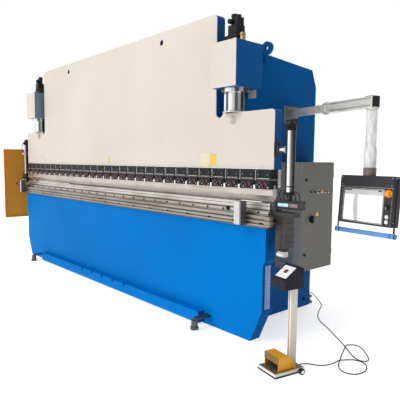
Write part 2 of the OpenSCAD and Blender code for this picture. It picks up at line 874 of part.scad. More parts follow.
module stand_place() {
  translate([stand_x, stand_y, 0]) rotate([0, 0, stand_turn]) children();
}

// Base tray with the bore of the axle, and the folded column welded on it
module stand_frame() {
  color([0.9, 0.86, 0.78]) stand_place() {
    difference() {
      block([-stand_w, 0, 0], [0, stand_d, base_h]);
      block([-stand_w + 4, 4, -1], [-4, stand_d - 4, base_h - 4]);
      translate([-stand_w - 1, wheel_y, wheel_z]) rotate([0, 90, 0])
        cylinder(h = stand_w + 2, r = 5 + fit);
    }
    difference() {
      block([-122, 204, base_h], [-88, 262, 600]);
      block([-118, 208, base_h - 1], [-92, 258, 601]);
      block([-89, 214, base_h + 4], [-87, 252, 596]);
    }
  }
}

// Wheels on one axle across the base
module stand_wheels() {
  color(dark) stand_place() {
    bar([-stand_w - 42, wheel_y, wheel_z], [42, wheel_y, wheel_z], 5);
    for (x = [-stand_w - 40, 16]) translate([x, wheel_y, wheel_z]) rotate([0, 90, 0])
      cylinder(h = 24, r = wheel_r);
  }
}

// Console with a sloping top
module stand_console() {
  color([0.05, 0.06, 0.12]) stand_place() along_x(-182, -30) polygon([
    [95, 600], [262, 600], [262, 745], [226, 758], [95, 668]]);
}

// Hood over the pedal, open at the front
module pedal_hood() {
  skin = 4;
  color(amber) stand_place() difference() {
    along_x(hood_x0, hood_x0 + hood_w) polygon([
      [hood_y0, base_h], [hood_y0 + hood_len, base_h], [hood_y0 + hood_len, base_h + 34],
      [hood_y0 + 88, base_h + hood_h], [hood_y0, base_h + hood_h]]);
    along_x(hood_x0 + skin, hood_x0 + hood_w - skin) polygon([
      [hood_y0 - 1, base_h - 1], [hood_y0 + hood_len - skin, base_h - 1],
      [hood_y0 + hood_len - skin, base_h + 32], [hood_y0 + 87, base_h + hood_h - skin],
      [hood_y0 + 30, base_h + hood_h - skin], [hood_y0 + 30, base_h + 62],
      [hood_y0 - 1, base_h + 50]]);
    for (x = [hood_x0 - 1, hood_x0 + hood_w - skin - 1])
      translate([x, pedal_pin_y, pedal_pin_z]) rotate([0, 90, 0])
        cylinder(h = skin + 2, r = 4 + fit);
  }
}

// Pedal plate with its pin across the hood
module foot_pedal() {
  color(dark) stand_place() {
    bar([hood_x0 + 1, pedal_pin_y, pedal_pin_z], [hood_x0 + hood_w - 1, pedal_pin_y, pedal_pin_z],
        4);
    translate([0, pedal_pin_y, pedal_pin_z]) rotate([4, 0, 0])
      block([hood_x0 + 12, -108, -5], [hood_x0 + hood_w - 12, 6, 5]);
  }
}

// Glands at the two ends of the pedal cable
module cable_glands() {
  color(dark) {
    translate([2014, 1180, 110]) rotate([-90, 0, 0]) {
      cylinder(h = 14, r = 12);
      translate([0, 0, 14]) cylinder(h = 12, r = 8);
    }
    stand_place() translate([-75, stand_d, 15]) rotate([-90, 0, 0]) {
      cylinder(h = 8, r = 9);
      translate([0, 0, 8]) cylinder(h = 12, r = 7);
    }
  }
}

// Directions and rings of the cable's sweep
function unit(v) = v / norm(v);
function heading(i) = unit(route[min(i + 1, len(route) - 1)] - route[max(i - 1, 0)]);
function across(i) = unit(cross(heading(i), [0, 0, 1]));
function ring(i) = [for (k = [0 : cable_sides - 1]) let (a = 360 * k / cable_sides)
  route[i] + cable_r * (cos(a) * across(i) + sin(a) * cross(across(i), heading(i)))];

module pedal_cable() {
  n = len(route);
  m = cable_sides;
  color(dark) polyhedron(
    points = [for (i = [0 : n - 1]) each ring(i)],
    faces = concat(
      [[for (k = [0 : m - 1]) k]],
      [for (i = [0 : n - 2]) for (k = [0 : m - 1])
        [i * m + k, (i + 1) * m + k, (i + 1) * m + (k + 1) % m, i * m + (k + 1) % m]],
      [[for (k = [m - 1 : -1 : 0]) (n - 1) * m + k]]));
}

bed_plate();
toe_apron();
levelling_feet();
left_frame();
right_frame();
rear_tie_beams();
ram_guide_rails();
cylinder_housings();
cylinder_barrels();
prefill_valves();
hydraulic_pipes();
oil_tank();
pump_motor();
table_rail();
crowning_wedge();
table_plate();
lower_die();
front_rail();
crowning_drive();
gauge_rails();
cabinet_shell();
switchgear();
arm_bracket();
stand_frame();
stand_console();
pedal_hood();
cable_glands();
pedal_cable();
guard_post();
ram_plate();
piston_rods();
backing_bar();
punch_clamps();
clamp_bolts();
upper_punch();
laser_right();
laser_left();
gauge_beam();
gauge_finger_left();
gauge_finger_right();
sheet_support_right();
sheet_support_left();
side_guard();
cabinet_door();
door_button_left();
door_button_right();
main_switch();
door_lock_upper();
door_lock_lower();
arm_link_1();
arm_link_2();
pendant_tube();
control_panel();
panel_grip();
panel_estop();
panel_selector();
panel_button_upper();
panel_button_lower();
foot_pedal();
stand_wheels();
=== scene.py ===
"""Looks of a hydraulic press brake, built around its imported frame. Metres, +Z up, floor at Z = 0."""

import math

import bmesh
import bpy
from mathutils import Matrix, Vector


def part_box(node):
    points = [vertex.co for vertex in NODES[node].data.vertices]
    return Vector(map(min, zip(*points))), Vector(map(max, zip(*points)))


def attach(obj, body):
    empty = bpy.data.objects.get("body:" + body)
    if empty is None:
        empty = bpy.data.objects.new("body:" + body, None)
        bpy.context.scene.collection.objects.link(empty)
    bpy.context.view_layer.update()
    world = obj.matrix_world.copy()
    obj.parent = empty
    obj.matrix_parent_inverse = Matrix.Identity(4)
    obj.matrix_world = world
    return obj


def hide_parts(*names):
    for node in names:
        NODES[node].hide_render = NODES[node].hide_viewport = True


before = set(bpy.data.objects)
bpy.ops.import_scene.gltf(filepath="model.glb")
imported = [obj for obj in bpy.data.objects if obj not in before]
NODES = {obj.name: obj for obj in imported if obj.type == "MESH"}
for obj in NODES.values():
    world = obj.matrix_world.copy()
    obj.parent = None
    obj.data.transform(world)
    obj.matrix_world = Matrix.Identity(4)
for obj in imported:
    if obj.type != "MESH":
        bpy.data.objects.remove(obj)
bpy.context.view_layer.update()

# -------- camera

CAMERA_PLACE = Vector((4.801, -2.812, 1.492))
CAMERA_AZIMUTH = math.radians(48.38)
CAMERA_ELEVATION = math.radians(4.87)
CAMERA_ROLL = math.radians(0.51)
CAMERA_LENS = 41.12


def make_camera():
    """Camera fitted to the photo, aimed by its azimuth, elevation and roll."""
    a, e = CAMERA_AZIMUTH, CAMERA_ELEVATION
    back = Vector((math.sin(a) * math.cos(e), -math.cos(a) * math.cos(e), math.sin(e)))
    right = Vector((math.cos(a), math.sin(a), 0))
    up = back.cross(right)
    right_rolled = math.cos(CAMERA_ROLL) * right + math.sin(CAMERA_ROLL) * up
    up_rolled = math.cos(CAMERA_ROLL) * up - math.sin(CAMERA_ROLL) * right
    camera = bpy.data.objects.new("camera", bpy.data.cameras.new("camera"))
    camera.data.lens = CAMERA_LENS
    camera.matrix_world = Matrix.Translation(CAMERA_PLACE) @ Matrix(
        (right_rolled, up_rolled, back)).transposed().to_4x4()
    bpy.context.scene.collection.objects.link(camera)
    bpy.context.scene.camera = camera


make_camera()

# -------- places shared with the frame


def at(x, y, z):
    return Matrix.Translation((x, y, z))


def turn(degrees, letter):
    return Matrix.Rotation(math.radians(degrees), 4, letter)


ARM = at(2.150, 0.742, 1.950) @ turn(-15.7, "Z")
LINK_1 = 0.414
LINK_2 = 0.510
ARM_END = ARM @ Vector((LINK_1 + LINK_2, 0, 0))
PANEL = at(ARM_END.x, ARM_END.y, 1.390) @ turn(-6.7, "Z") @ at(0.015, 0, 0) @ turn(-4.4, "X")
PANEL_FACE = -0.046
PANEL_HALF = 0.231
CONTROL_X = 0.188
STAND = at(2.891, -0.409, 0) @ turn(-12, "Z")
HERE = Matrix.Identity(4)
FRONT = (0, -1, 0)
RIGHT = (1, 0, 0)
UP = (0, 0, 1)
RAM_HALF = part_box("ram_plate")[1].x
CLAMP_COUNT = 29
CLAMP_PITCH = 2 * RAM_HALF / CLAMP_COUNT
CYLINDER_X = 2.044
CYLINDER_Y = 0.030
COLLAR_TOP = 1.452

# -------- material nodes


def set_range(node, *numbers):
    """Fills in a map range node: from low and high, to low and high."""
    for key, number in zip(("From Min", "From Max", "To Min", "To Max"), numbers):
        node.inputs[key].default_value = number


class Shader:
    """A principled material under construction, with its object coordinates at hand."""

    def __init__(self, name, metallic=0.0, coat=0.0, specular=0.5):
        self.material = bpy.data.materials.new(name)
        self.material.use_nodes = True
        self.tree = self.material.node_tree
        self.surface = self.tree.nodes["Principled BSDF"]
        self.surface.inputs["Metallic"].default_value = metallic
        self.surface.inputs["Coat Weight"].default_value = coat
        self.surface.inputs["Coat Roughness"].default_value = 0.12
        self.surface.inputs["Specular IOR Level"].default_value = specular
        self.coordinates = self.node("TexCoord")
        self.place = self.coordinates.outputs["Object"]

    def node(self, kind):
        return self.tree.nodes.new("ShaderNode" + kind)

    def link(self, source, target):
        self.tree.links.new(source, target)

    def math(self, operation, a, b):
        node = self.node("Math")
        node.operation = operation
        for socket, value in zip(node.inputs, (a, b)):
            if isinstance(value, (int, float)):
                socket.default_value = value
            else:
                self.link(value, socket)
        return node.outputs[0]

    def noise(self, scale, stretch=(1, 1, 1), detail=4.0, roughness=0.55):
        """Noise over the object, with its grain drawn out where stretch is below 1."""
        mapping = self.node("Mapping")
        mapping.inputs["Scale"].default_value = stretch
        self.link(self.place, mapping.inputs["Vector"])
        node = self.node("TexNoise")
        node.inputs["Scale"].default_value = scale
        node.inputs["Detail"].default_value = detail
        node.inputs["Roughness"].default_value = roughness
        self.link(mapping.outputs["Vector"], node.inputs["Vector"])
        return node.outputs["Fac"]

    def between(self, value, low, high, to_low=0.0, to_high=1.0):
        node = self.node("MapRange")
        set_range(node, low, high, to_low, to_high)
        self.link(value, node.inputs["Value"])
        return node.outputs["Result"]

    def mix(self, share, a, b):
        node = self.node("Mix")
        node.data_type = "RGBA"
        self.link(share, node.inputs["Factor"])
        for socket, value in ((node.inputs[6], a), (node.inputs[7], b)):
            if isinstance(value, tuple):
                socket.default_value = (*value, 1)
            else:
                self.link(value, socket)
        return node.outputs[2]

    def axis(self, letter, source=None):
        node = self.node("SeparateXYZ")
        self.link(source or self.place, node.inputs[0])
        return node.outputs[letter]

    def within(self, value, low, high):
        return self.math("MULTIPLY", self.math("GREATER_THAN", value, low),
                         self.math("LESS_THAN", value, high))

    def facing(self, letter, low, high):
        """1 where the surface's own normal along an axis is between low and high."""
        return self.within(self.axis(letter, self.coordinates.outputs["Normal"]), low, high)

    def around(self, stops):
        """Painted reflections: upright light and dark bands round a standing cylinder, by (place from
        its left to its right, tone).
        """
        normal = self.coordinates.outputs["Normal"]
        across = self.math("ADD", self.axis("X", normal), self.axis("Y", normal))
        node = self.node("ValToRGB")
        self.link(self.between(across, -math.sqrt(2), math.sqrt(2)), node.inputs["Fac"])
        for (place, tone), element in zip(stops, node.color_ramp.elements):
            element.position, element.color = place, (tone, tone, tone, 1)
        for place, tone in stops[2:]:
            node.color_ramp.elements.new(place).color = (tone, tone, tone, 1)
        return node.outputs["Color"]

    def zone(self, **limits):
        """1 inside a box that is given by X=(low, high), Y=(low, high) or Z=(low, high)."""
        share = None
        for letter, (low, high) in limits.items():
            inside = self.within(self.axis(letter), low, high)
            share = inside if share is None else self.math("MULTIPLY", share, inside)
        return share

    def rough(self, value, low, high):
        self.link(self.between(value, 0.3, 0.7, low, high), self.surface.inputs["Roughness"])

    def bump(self, height, distance, strength=0.6):
        node = self.node("Bump")
        node.inputs["Distance"].default_value = distance
        node.inputs["Strength"].default_value = strength
        self.link(height, node.inputs["Height"])
        self.link(node.outputs["Normal"], self.surface.inputs["Normal"])

    def colour(self, value):
        self.link(value, self.surface.inputs["Base Color"])
        return self.material


def shade(colour, factor):
    return tuple(min(1.0, c * factor) for c in colour)


def paint_shader(name, colour, roughness=0.45, coat=0.0, depth=0.10, specular=0.12):
    """Sprayed paint: slow tone drift, fine orange peel, small dust specks and duller patches."""
    s = Shader(name, coat=coat, specular=specular)
    cloud = s.between(s.noise(0.9, detail=6), 0.35, 0.65)
    tone = s.mix(cloud, shade(colour, 1 - depth), shade(colour, 1 + depth * 0.6))
    specks = s.between(s.noise(95, detail=2), 0.69, 0.76, 0, 0.35)
    tone = s.mix(specks, tone, shade(colour, 0.6))
    s.rough(s.noise(3.5), roughness - 0.07, roughness + 0.12)
    s.bump(s.noise(260, detail=2), 0.0006, 0.35)
    return s, tone


def painted(name, colour, **options):
    s, tone = paint_shader(name, colour, **options)
    return s.colour(tone)


def metal_shader(name, colour, roughness=0.3, stretch=(1, 60, 60), stain=None):
    """Worked metal: streaks along the length, brown or dark stains and a brushed bump."""
    s = Shader(name, metallic=0.9)
    streak = s.noise(5, stretch=stretch, detail=5, roughness=0.7)
    tone = s.mix(s.between(streak, 0.3, 0.7), shade(colour, 0.72), shade(colour, 1.18))
    if stain:
        patch = s.between(s.noise(2.6, stretch=(0.5, 2, 2), detail=6), 0.5, 0.72, 0, 0.75)
        tone = s.mix(patch, tone, stain)
    s.rough(streak, roughness - 0.08, roughness + 0.14)
    s.bump(s.noise(30, stretch=stretch, detail=3), 0.0004, 0.5)
    return s, tone


def metal(name, colour, **options):
    s, tone = metal_shader(name, colour, **options)
    return s.colour(tone)


def moulded(name, colour, roughness=0.45, grain=420, coat=0.0):
    """Moulded plastic or rubber with a fine pebble grain and slight wear."""
    s = Shader(name, coat=coat, specular=0.2)
    worn = s.between(s.noise(14, detail=6), 0.45, 0.75)
    tone = s.mix(worn, colour, tuple(c * 0.85 + 0.012 for c in colour))
    s.rough(s.noise(22), roughness - 0.08, roughness + 0.12)
    s.bump(s.noise(grain, detail=2), 0.0005, 0.5)
    return s.colour(tone)


BLUE = (0.000, 0.172, 0.545)
# The blue paint darkened as painted shade, for the frames, the bed's cut ends and the cut edges of ram
# and housings.
SHADED_BLUE = (0.000, 0.086, 0.290)
# A paler blue-grey for painted light on the far-left cut edges.
PAINTED_LIGHT_SLATE = (0.16, 0.22, 0.29)
CREAM = (0.675, 0.615, 0.550)
BLACK = (0.014, 0.014, 0.016)
STAIN = (0.20, 0.14, 0.09)
# Painted shade for the dark bands in the recesses of the table steel.
GROOVE_SHADE = (0.10, 0.085, 0.07)


def two_tone(name, highlight_y):
    """Cream faces and blue cut edges, the edges darkened as painted shade, a paler slate at the far
    left as painted light, and a painted highlight at the front.
    """
    s, tone = paint_shader(name, CREAM, depth=0.05)
    cut_edge = s.facing("Y", -0.5, 0.5)
    # Blue edge paint, darkened as painted shade.
    tone = s.mix(cut_edge, tone, SHADED_BLUE)
    painted_light_left = s.math("MULTIPLY", cut_edge, s.zone(X=(-2.3, -1.5)))
    # Painted light: the far-left cut edges are a paler slate.
    tone = s.mix(painted_light_left, tone, PAINTED_LIGHT_SLATE)
    line = s.math("MULTIPLY", cut_edge, s.zone(Y=(highlight_y - 0.01, highlight_y + 0.006)))
    # Painted highlight: a bright band along the front of the cut edges.
    return s.colour(s.mix(line, tone, (0.9, 0.9, 0.88)))


def bed_paint():
    """Bright blue faces whose cut ends are darkened to a deeper blue as painted shade."""
    s, tone = paint_shader("machine_blue", BLUE, specular=0.02)
    ends = s.math("MAXIMUM", s.facing("X", 0.5, 1.1), s.facing("X", -1.1, -0.5))
    # Painted shade: the cut ends take the darkened blue.
    return s.colour(s.mix(ends, tone, SHADED_BLUE))


def table_metal(name, colour, *bands):
    """Ground table steel with darker, browner bands between pairs of heights: painted shade in the
    recesses between the table's layers.
    """
    s, tone = metal_shader(name, colour, roughness=0.34, stain=STAIN)
    for low, high in bands:
        # Painted shade: a dark band between the two heights.
        tone = s.mix(s.math("MULTIPLY", s.zone(Z=(low, high)), 0.85), tone, GROOVE_SHADE)
    return s.colour(tone)


def painted_reflection_metal(name, colour, stops, low, high, inner_x, **options):
    """Polished standing cylinders between two heights and outside inner_x, with painted reflections in
    upright bands.
    """
    s, tone = metal_shader(name, colour, **options)
    share = s.math("MULTIPLY", s.zone(Z=(low, high)), s.between(s.noise(12), 0.3, 0.7, 0.86, 0.97))
    share = s.math("MULTIPLY", share,
                   s.math("GREATER_THAN", s.math("ABSOLUTE", s.axis("X"), 0.0), inner_x))
    return s.colour(s.mix(share, tone, s.around(stops)))


def cabinet_paint():
    """Grey enamel whose front side, beside the frame, is painted paler as painted light."""
    s, tone = paint_shader("cabinet_grey", (0.172, 0.168, 0.150), roughness=0.48, coat=0.05)
    # Painted light: the faces turned to the front are a paler grey.
    return s.colour(s.mix(s.facing("Y", -1.1, -0.5), tone, (0.40, 0.39, 0.355)))


def clamp_black():
    """Oiled black clamp bodies with a grey band at the step between their two halves."""
    s, tone = paint_shader("clamp_black", (0.022, 0.022, 0.026), roughness=0.42, depth=0.25)
    tone = s.mix(s.math("MULTIPLY", s.zone(Z=(1.343, 1.352)), 0.8), tone, (0.30, 0.30, 0.31))
    return s.colour(tone)


def support_metal(name):
    """Sheet support: bright block, dark backing plate and black knob."""
    plate, knob = 0.016, 0.039
    s, tone = metal_shader(name, (0.62, 0.61, 0.60), roughness=0.32, stretch=(30, 30, 3))
    low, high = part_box(name)
    tone = s.mix(s.zone(X=(high.x - plate, high.x + 0.01)), tone, (0.16, 0.16, 0.165))
    return s.colour(s.mix(s.zone(X=(low.x - 0.01, low.x + knob)), tone, BLACK))


def arm_metal():
    """Anodised aluminium: pale, with long dull scratches and grey handling marks."""
    s = Shader("arm_aluminium", metallic=0.25)
    grain = s.noise(5, stretch=(2, 40, 40), detail=5, roughness=0.7)
    tone = s.mix(s.between(grain, 0.3, 0.7), (0.56, 0.54, 0.49), (0.82, 0.80, 0.74))
    marks = s.between(s.noise(9, stretch=(1, 1, 3), detail=6), 0.52, 0.70, 0, 0.6)
    s.rough(grain, 0.28, 0.48)
    s.bump(grain, 0.0004, 0.5)
    return s.colour(s.mix(marks, tone, (0.26, 0.25, 0.23)))


def pendant_material():
    """White wrapped tube with a grey-brown collar near the panel."""
    s = Shader("pendant_wrap")
    crumple = s.noise(34, stretch=(1, 1, 0.35), detail=6, roughness=0.65)
    # The tone follows the crumple that also makes the bump, so the hollows of the folds are darker:
    # painted shade.
    tone = s.mix(s.between(crumple, 0.35, 0.68), (0.62, 0.61, 0.60), (0.90, 0.90, 0.90))
    tone = s.mix(s.zone(Z=(1.30, COLLAR_TOP)), tone, (0.17, 0.14, 0.13))
    s.rough(crumple, 0.3, 0.6)
    s.bump(crumple, 0.004, 0.8)
    return s.colour(tone)


def drive_material():
    """Dark cast gearbox with a pale cast connector at its foot."""
    s = Shader("drive_cast")
    pits = s.noise(150, detail=4)
    tone = s.mix(s.between(s.noise(7), 0.35, 0.7), (0.022, 0.018, 0.016), (0.060, 0.048, 0.042))
    tone = s.mix(s.zone(Z=(0.70, 0.79)), tone, (0.62, 0.62, 0.60))
    tone = s.mix(s.zone(Z=(1.066, 1.2)), tone, (0.030, 0.031, 0.034))
    s.rough(pits, 0.42, 0.62)
    s.bump(pits, 0.0012, 0.7)
    return s.colour(tone)


# Painted light: a surface that shines with no lamp in it, used for the light guard's receiver window.
def painted_glow(name, colour, strength):
    s = Shader(name)
    s.surface.inputs["Emission Strength"].default_value = strength
    tone = s.mix(s.between(s.noise(45), 0.35, 0.65), shade(colour, 0.8), colour)
    s.link(tone, s.surface.inputs["Emission Color"])
    s.rough(s.noise(20), 0.1, 0.3)
    return s.colour(tone)


def screen_material():
    """Dead screen: bright, slightly wavy painted reflections over pale grey that give off a faint
    light, with a darker painted streak and a grey band along its top.
    """
    s = Shader("screen_glass", coat=0.4)
    wash = s.noise(3.2, stretch=(1.2, 1, 0.5), detail=2)
    tone = s.mix(s.between(wash, 0.38, 0.62), (0.86, 0.86, 0.86), (0.97, 0.97, 0.97))
    drift = s.between(s.noise(5), 0.3, 0.7, -0.012, 0.012)
    across = s.math("ADD", s.axis("X"), drift)
    streak = s.math("MULTIPLY", s.between(across, 2.940, 2.955), s.between(across, 2.992, 2.976))
    tone = s.mix(streak, tone, (0.42, 0.41, 0.40))
    tone = s.mix(s.zone(Z=(1.245, 1.4)), tone, (0.42, 0.42, 0.43))
    # Painted light: the dead screen shines faintly in its own tone.
    s.link(tone, s.surface.inputs["Emission Color"])
    s.surface.inputs["Emission Strength"].default_value = 0.45
    s.rough(s.noise(6), 0.05, 0.16)
    return s.colour(tone)


# Painted reflections: the light and dark stops round the chromed rods and the black light guard tubes.
CHROME_REFLECTIONS = ((0.0, 0.02), (0.10, 0.05), (0.15, 0.98), (0.45, 0.98), (0.48, 0.22), (0.60, 0.18),
                (0.64, 0.95), (0.75, 0.9), (0.79, 0.03), (0.92, 0.02), (0.97, 0.25))
TUBE_REFLECTIONS = ((0.0, 0.02), (0.12, 0.03), (0.17, 0.95), (0.36, 0.95), (0.44, 0.30), (0.62, 0.11),
              (0.80, 0.02), (1.0, 0.01))

MATERIALS = {
    "blue": bed_paint(),
    # The frames are the blue paint darkened: painted shade.
    "shaded_frame_blue": painted("shaded_frame_blue", SHADED_BLUE, specular=0.04),
    "cream_ram": two_tone("ram_cream", 0.0),
    "cream_housing": two_tone("housing_cream", -0.125),
    "rail": table_metal("table_rail_steel", (0.42, 0.39, 0.36), (0.965, 1.0)),
    "front_rail": table_metal("front_rail_steel", (0.37, 0.345, 0.31), (0.964, 0.972),
                              (0.997, 1.003), (1.028, 1.040)),
    "die": table_metal("die_steel", (0.66, 0.62, 0.58), (1.100, 1.112), (1.136, 1.141)),
    "plate": table_metal("table_plate_steel", (0.50, 0.47, 0.43), (1.044, 1.054), (1.074, 1.080)),
    "ground": metal("ground_steel", (0.56, 0.54, 0.51), stain=STAIN),
    "tool": metal("tool_steel", (0.58, 0.53, 0.49), roughness=0.28, stain=(0.34, 0.27, 0.22)),
    "bright": metal("bright_steel", (0.80, 0.80, 0.80), roughness=0.22),
    "chrome": painted_reflection_metal("chromed_rod", (0.88, 0.88, 0.90), CHROME_REFLECTIONS, 1.9, 2.104, 1.9,
                           roughness=0.12, stretch=(60, 60, 1)),
    "clamp": clamp_black(),
    "bolt": metal("dark_bolt_steel", (0.13, 0.13, 0.13), roughness=0.4, stretch=(20, 20, 20)),
    "notch": painted("pale_notch", (0.90, 0.88, 0.84), roughness=0.4),
    "black": painted("black_metal", (0.018, 0.018, 0.020), roughness=0.40, depth=0.3),
    "tube": painted_reflection_metal("black_tube", (0.050, 0.050, 0.054), TUBE_REFLECTIONS, 1.241, 1.775, 2.6,
                         roughness=0.24, stretch=(50, 50, 1)),
    "grey": cabinet_paint(),
    "arm": arm_metal(),
    "pendant": pendant_material(),
    "panel": painted("panel_charcoal", (0.050, 0.048, 0.052), roughness=0.42, depth=0.2),
    "screen": screen_material(),
    "grip": moulded("grip_blue", (0.14, 0.34, 0.70), roughness=0.5),
    "amber": painted("amber_paint", (0.66, 0.265, 0.004), roughness=0.42),
    "hood": painted("hood_amber", (0.86, 0.38, 0.012), roughness=0.30, coat=0.5),
    # The hood's amber darkened to brown, as painted shade on its front apron.
    "brown": painted("hood_shaded_amber", (0.22, 0.15, 0.045), roughness=0.55),
    "beige": painted("stand_beige", (0.78, 0.74, 0.66), roughness=0.42),
    "navy": moulded("console_navy", (0.004, 0.005, 0.016), roughness=0.40),
    "plastic": moulded("black_plastic", (0.018, 0.018, 0.020)),
    "rubber": moulded("black_rubber", (0.016, 0.016, 0.017), roughness=0.6),
    "white": moulded("white_plastic", (0.86, 0.86, 0.85), roughness=0.3, coat=0.3),
    "orange": moulded("estop_amber", (0.90, 0.34, 0.02), roughness=0.3, coat=0.4),
    "red": moulded("red_plastic", (0.30, 0.045, 0.045), roughness=0.4),
    "dark_red": moulded("dark_red_plastic", (0.16, 0.02, 0.015), roughness=0.35),
    "yellow": painted("label_yellow", (0.80, 0.58, 0.13), roughness=0.5),
    "strip": painted("strip_blue_grey", (0.22, 0.32, 0.62), roughness=0.5),
    "label": painted("label_pale", (0.78, 0.70, 0.48), roughness=0.5),
    "drive": drive_material(),
    "brass": metal("brass_fitting", (0.62, 0.42, 0.20), roughness=0.34, stretch=(20, 20, 20)),
    "painted_glow": painted_glow("receiver_painted_glow", (0.40, 0.62, 0.70), 0.40),
    "rose": painted("receiver_rose", (0.26, 0.20, 0.22), roughness=0.4),
    "support_right": support_metal("sheet_support_right"),
    "support_left": support_metal("sheet_support_left"),
}

NODE_MATERIALS = {
    "blue": ("bed_plate", "toe_apron", "oil_tank"),
    "shaded_frame_blue": ("left_frame", "right_frame", "rear_tie_beams"),
    "cream_ram": ("ram_plate",),
    "cream_housing": ("cylinder_housings",),
    "rail": ("table_rail",),
    "plate": ("table_plate",),
    "ground": ("ram_guide_rails", "gauge_beam"),
    "front_rail": ("front_rail",),
    "die": ("lower_die",),
    "tool": ("upper_punch", "crowning_wedge"),
    "bright": ("backing_bar", "gauge_finger_left", "gauge_finger_right"),
    "bolt": ("clamp_bolts", "levelling_feet"),
    "chrome": ("piston_rods", "cylinder_barrels"),
    "clamp": ("punch_clamps",),
    "black": ("prefill_valves", "hydraulic_pipes", "pump_motor", "guard_post"),
    "tube": ("laser_right", "laser_left"),
    "grey": ("gauge_rails", "cabinet_shell", "cabinet_door", "arm_bracket"),
    "arm": ("arm_link_1", "arm_link_2"),
    "pendant": ("pendant_tube",),
    "panel": ("control_panel",),
    "grip": ("panel_grip",),
    "hood": ("pedal_hood",),
    "amber": ("side_guard",),
    "beige": ("stand_frame",),
    "navy": ("stand_console",),
    "plastic": ("switchgear", "door_button_left", "door_button_right", "main_switch",
                "door_lock_upper", "door_lock_lower", "panel_selector", "foot_pedal",
                "cable_glands"),
    "orange": ("panel_estop",),
    "white": ("panel_button_upper", "panel_button_lower"),
    "rubber": ("pedal_cable", "stand_wheels"),
    "drive": ("crowning_drive",),
    "support_right": ("sheet_support_right",),
    "support_left": ("sheet_support_left",),
}


def dress_nodes():
    for key, names in NODE_MATERIALS.items():
        for name in names:
            NODES[name].data.materials.clear()
            NODES[name].data.materials.append(MATERIALS[key])


dress_nodes()

# -------- mesh helpers


def piece(name, bm, material, body, bevel=0.0, smooth=False):
    """Turns a bmesh into a piece that rides on a body, with soft edges where bevel is given."""
    bmesh.ops.remove_doubles(bm, verts=bm.verts, dist=1e-6)
    bmesh.ops.recalc_face_normals(bm, faces=bm.faces)
    mesh = bpy.data.meshes.new(name)
    bm.to_mesh(mesh)
    bm.free()
    for face in mesh.polygons:
        face.use_smooth = smooth
    obj = bpy.data.objects.new(name, mesh)
    if bevel:
        rounding = obj.modifiers.new("rounding", "BEVEL")
        rounding.width = bevel
        rounding.segments = 3
        rounding.limit_method = "ANGLE"
    return mount(obj, material, body)


def mount(obj, material, body):
    """Puts an object in the scene with its material, on the body that carries it."""
    bpy.context.scene.collection.objects.link(obj)
    obj.data.materials.append(MATERIALS[material])
    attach(obj, body)
    return obj


def axis_place(point, axis):
    """A frame at a point whose local Z runs along an axis."""
    return Matrix.Translation(point) @ Vector(axis).to_track_quat("Z", "Y").to_matrix().to_4x4()


def bridge(bm, low, high):
    """A wall between two closed rings with the same number of points."""
    for k in range(len(low)):
        n = (k + 1) % len(low)
        bm.faces.new((low[k], low[n], high[n], high[k]))


def add_box(bm, low, high, place=HERE):
    low, high = Vector(low), Vector(high)
    made = bmesh.ops.create_cube(bm, size=1)["verts"]
    fit = Matrix.Translation((low + high) / 2) @ Matrix.Diagonal((*(high - low), 1))
    bmesh.ops.transform(bm, matrix=place @ fit, verts=made)


def add_lathe(bm, profile, place, segments=40):
    """A body turned about the local Z axis from (radius, height) pairs, closed at both ends."""
    rings = []
    for radius, height in profile:
        rings.append([bm.verts.new(place @ Vector((
            radius * math.cos(2 * math.pi * k / segments),
            radius * math.sin(2 * math.pi * k / segments), height))) for k in range(segments)])
    for low, high in zip(rings, rings[1:]):
        bridge(bm, low, high)
    bm.faces.new(rings[0][::-1])
    bm.faces.new(rings[-1])


def add_slab(bm, front, rear):
    """A closed slab between two outlines with the same number of points."""
    front = [bm.verts.new(point) for point in front]
    rear = [bm.verts.new(point) for point in rear]
    bm.faces.new(front)
    bm.faces.new(rear[::-1])
    for k in range(len(front)):
        n = (k + 1) % len(front)
        bm.faces.new((front[k], rear[k], rear[n], front[n]))


def add_plate(bm, low, high, thickness, corner, place, steps=5):
    """A thin plate with round corners in the local X-Z plane, facing local -Y."""
    outline = []
    for cx, cz, start in ((high[0] - corner, high[1] - corner, 0),
                          (low[0] + corner, high[1] - corner, 90),
                          (low[0] + corner, low[1] + corner, 180),
                          (high[0] - corner, low[1] + corner, 270)):
        for k in range(steps + 1):
            a = math.radians(start + 90 * k / steps)
            outline.append((cx + corner * math.cos(a), cz + corner * math.sin(a)))
    add_slab(bm, [place @ Vector((x, -thickness, z)) for x, z in outline],
             [place @ Vector((x, 0, z)) for x, z in outline])


def screw_profile(radius, height):
    """Profile of a domed cap screw with its socket."""
    return [(radius, 0), (radius, height * 0.7), (radius * 0.85, height),
            (radius * 0.5, height), (radius * 0.45, height * 0.45), (0.0004, height * 0.45)]


def tube_profile(inner, outer, low, high):
    return [(inner, low), (outer, low), (outer, high), (inner, high)]


def ring_profile(inner, outer, edge, shoulder, height):
    """Profile of a ring whose outer top edge is cut back by edge, above shoulder."""
    return [(inner, 0), (outer, 0), (outer, shoulder), (outer - edge, height), (inner, height)]


def boxes(name, limits, material, body, bevel=0.0, place=HERE):
    """One piece of boxes, each given by its low and high corner."""
    bm = bmesh.new()
    for low, high in limits:
        add_box(bm, low, high, place)
    return piece(name, bm, material, body, bevel)


def turned(name, profile, places, material, body, segments=40, bevel=0.0, smooth=False):
    """One piece of the same turned shape at each of the places."""
    bm = bmesh.new()
    for place in places:
        add_lathe(bm, profile, place, segments)
    return piece(name, bm, material, body, bevel, smooth)


def plates(name, limits, thickness, corner, material, body, bevel=0.0, place=HERE):
    """One piece of round-cornered plates, each given by its low and high (x, z) corner."""
    bm = bmesh.new()
    for low, high in limits:
        add_plate(bm, low, high, thickness, corner, place)
    return piece(name, bm, material, body, bevel)


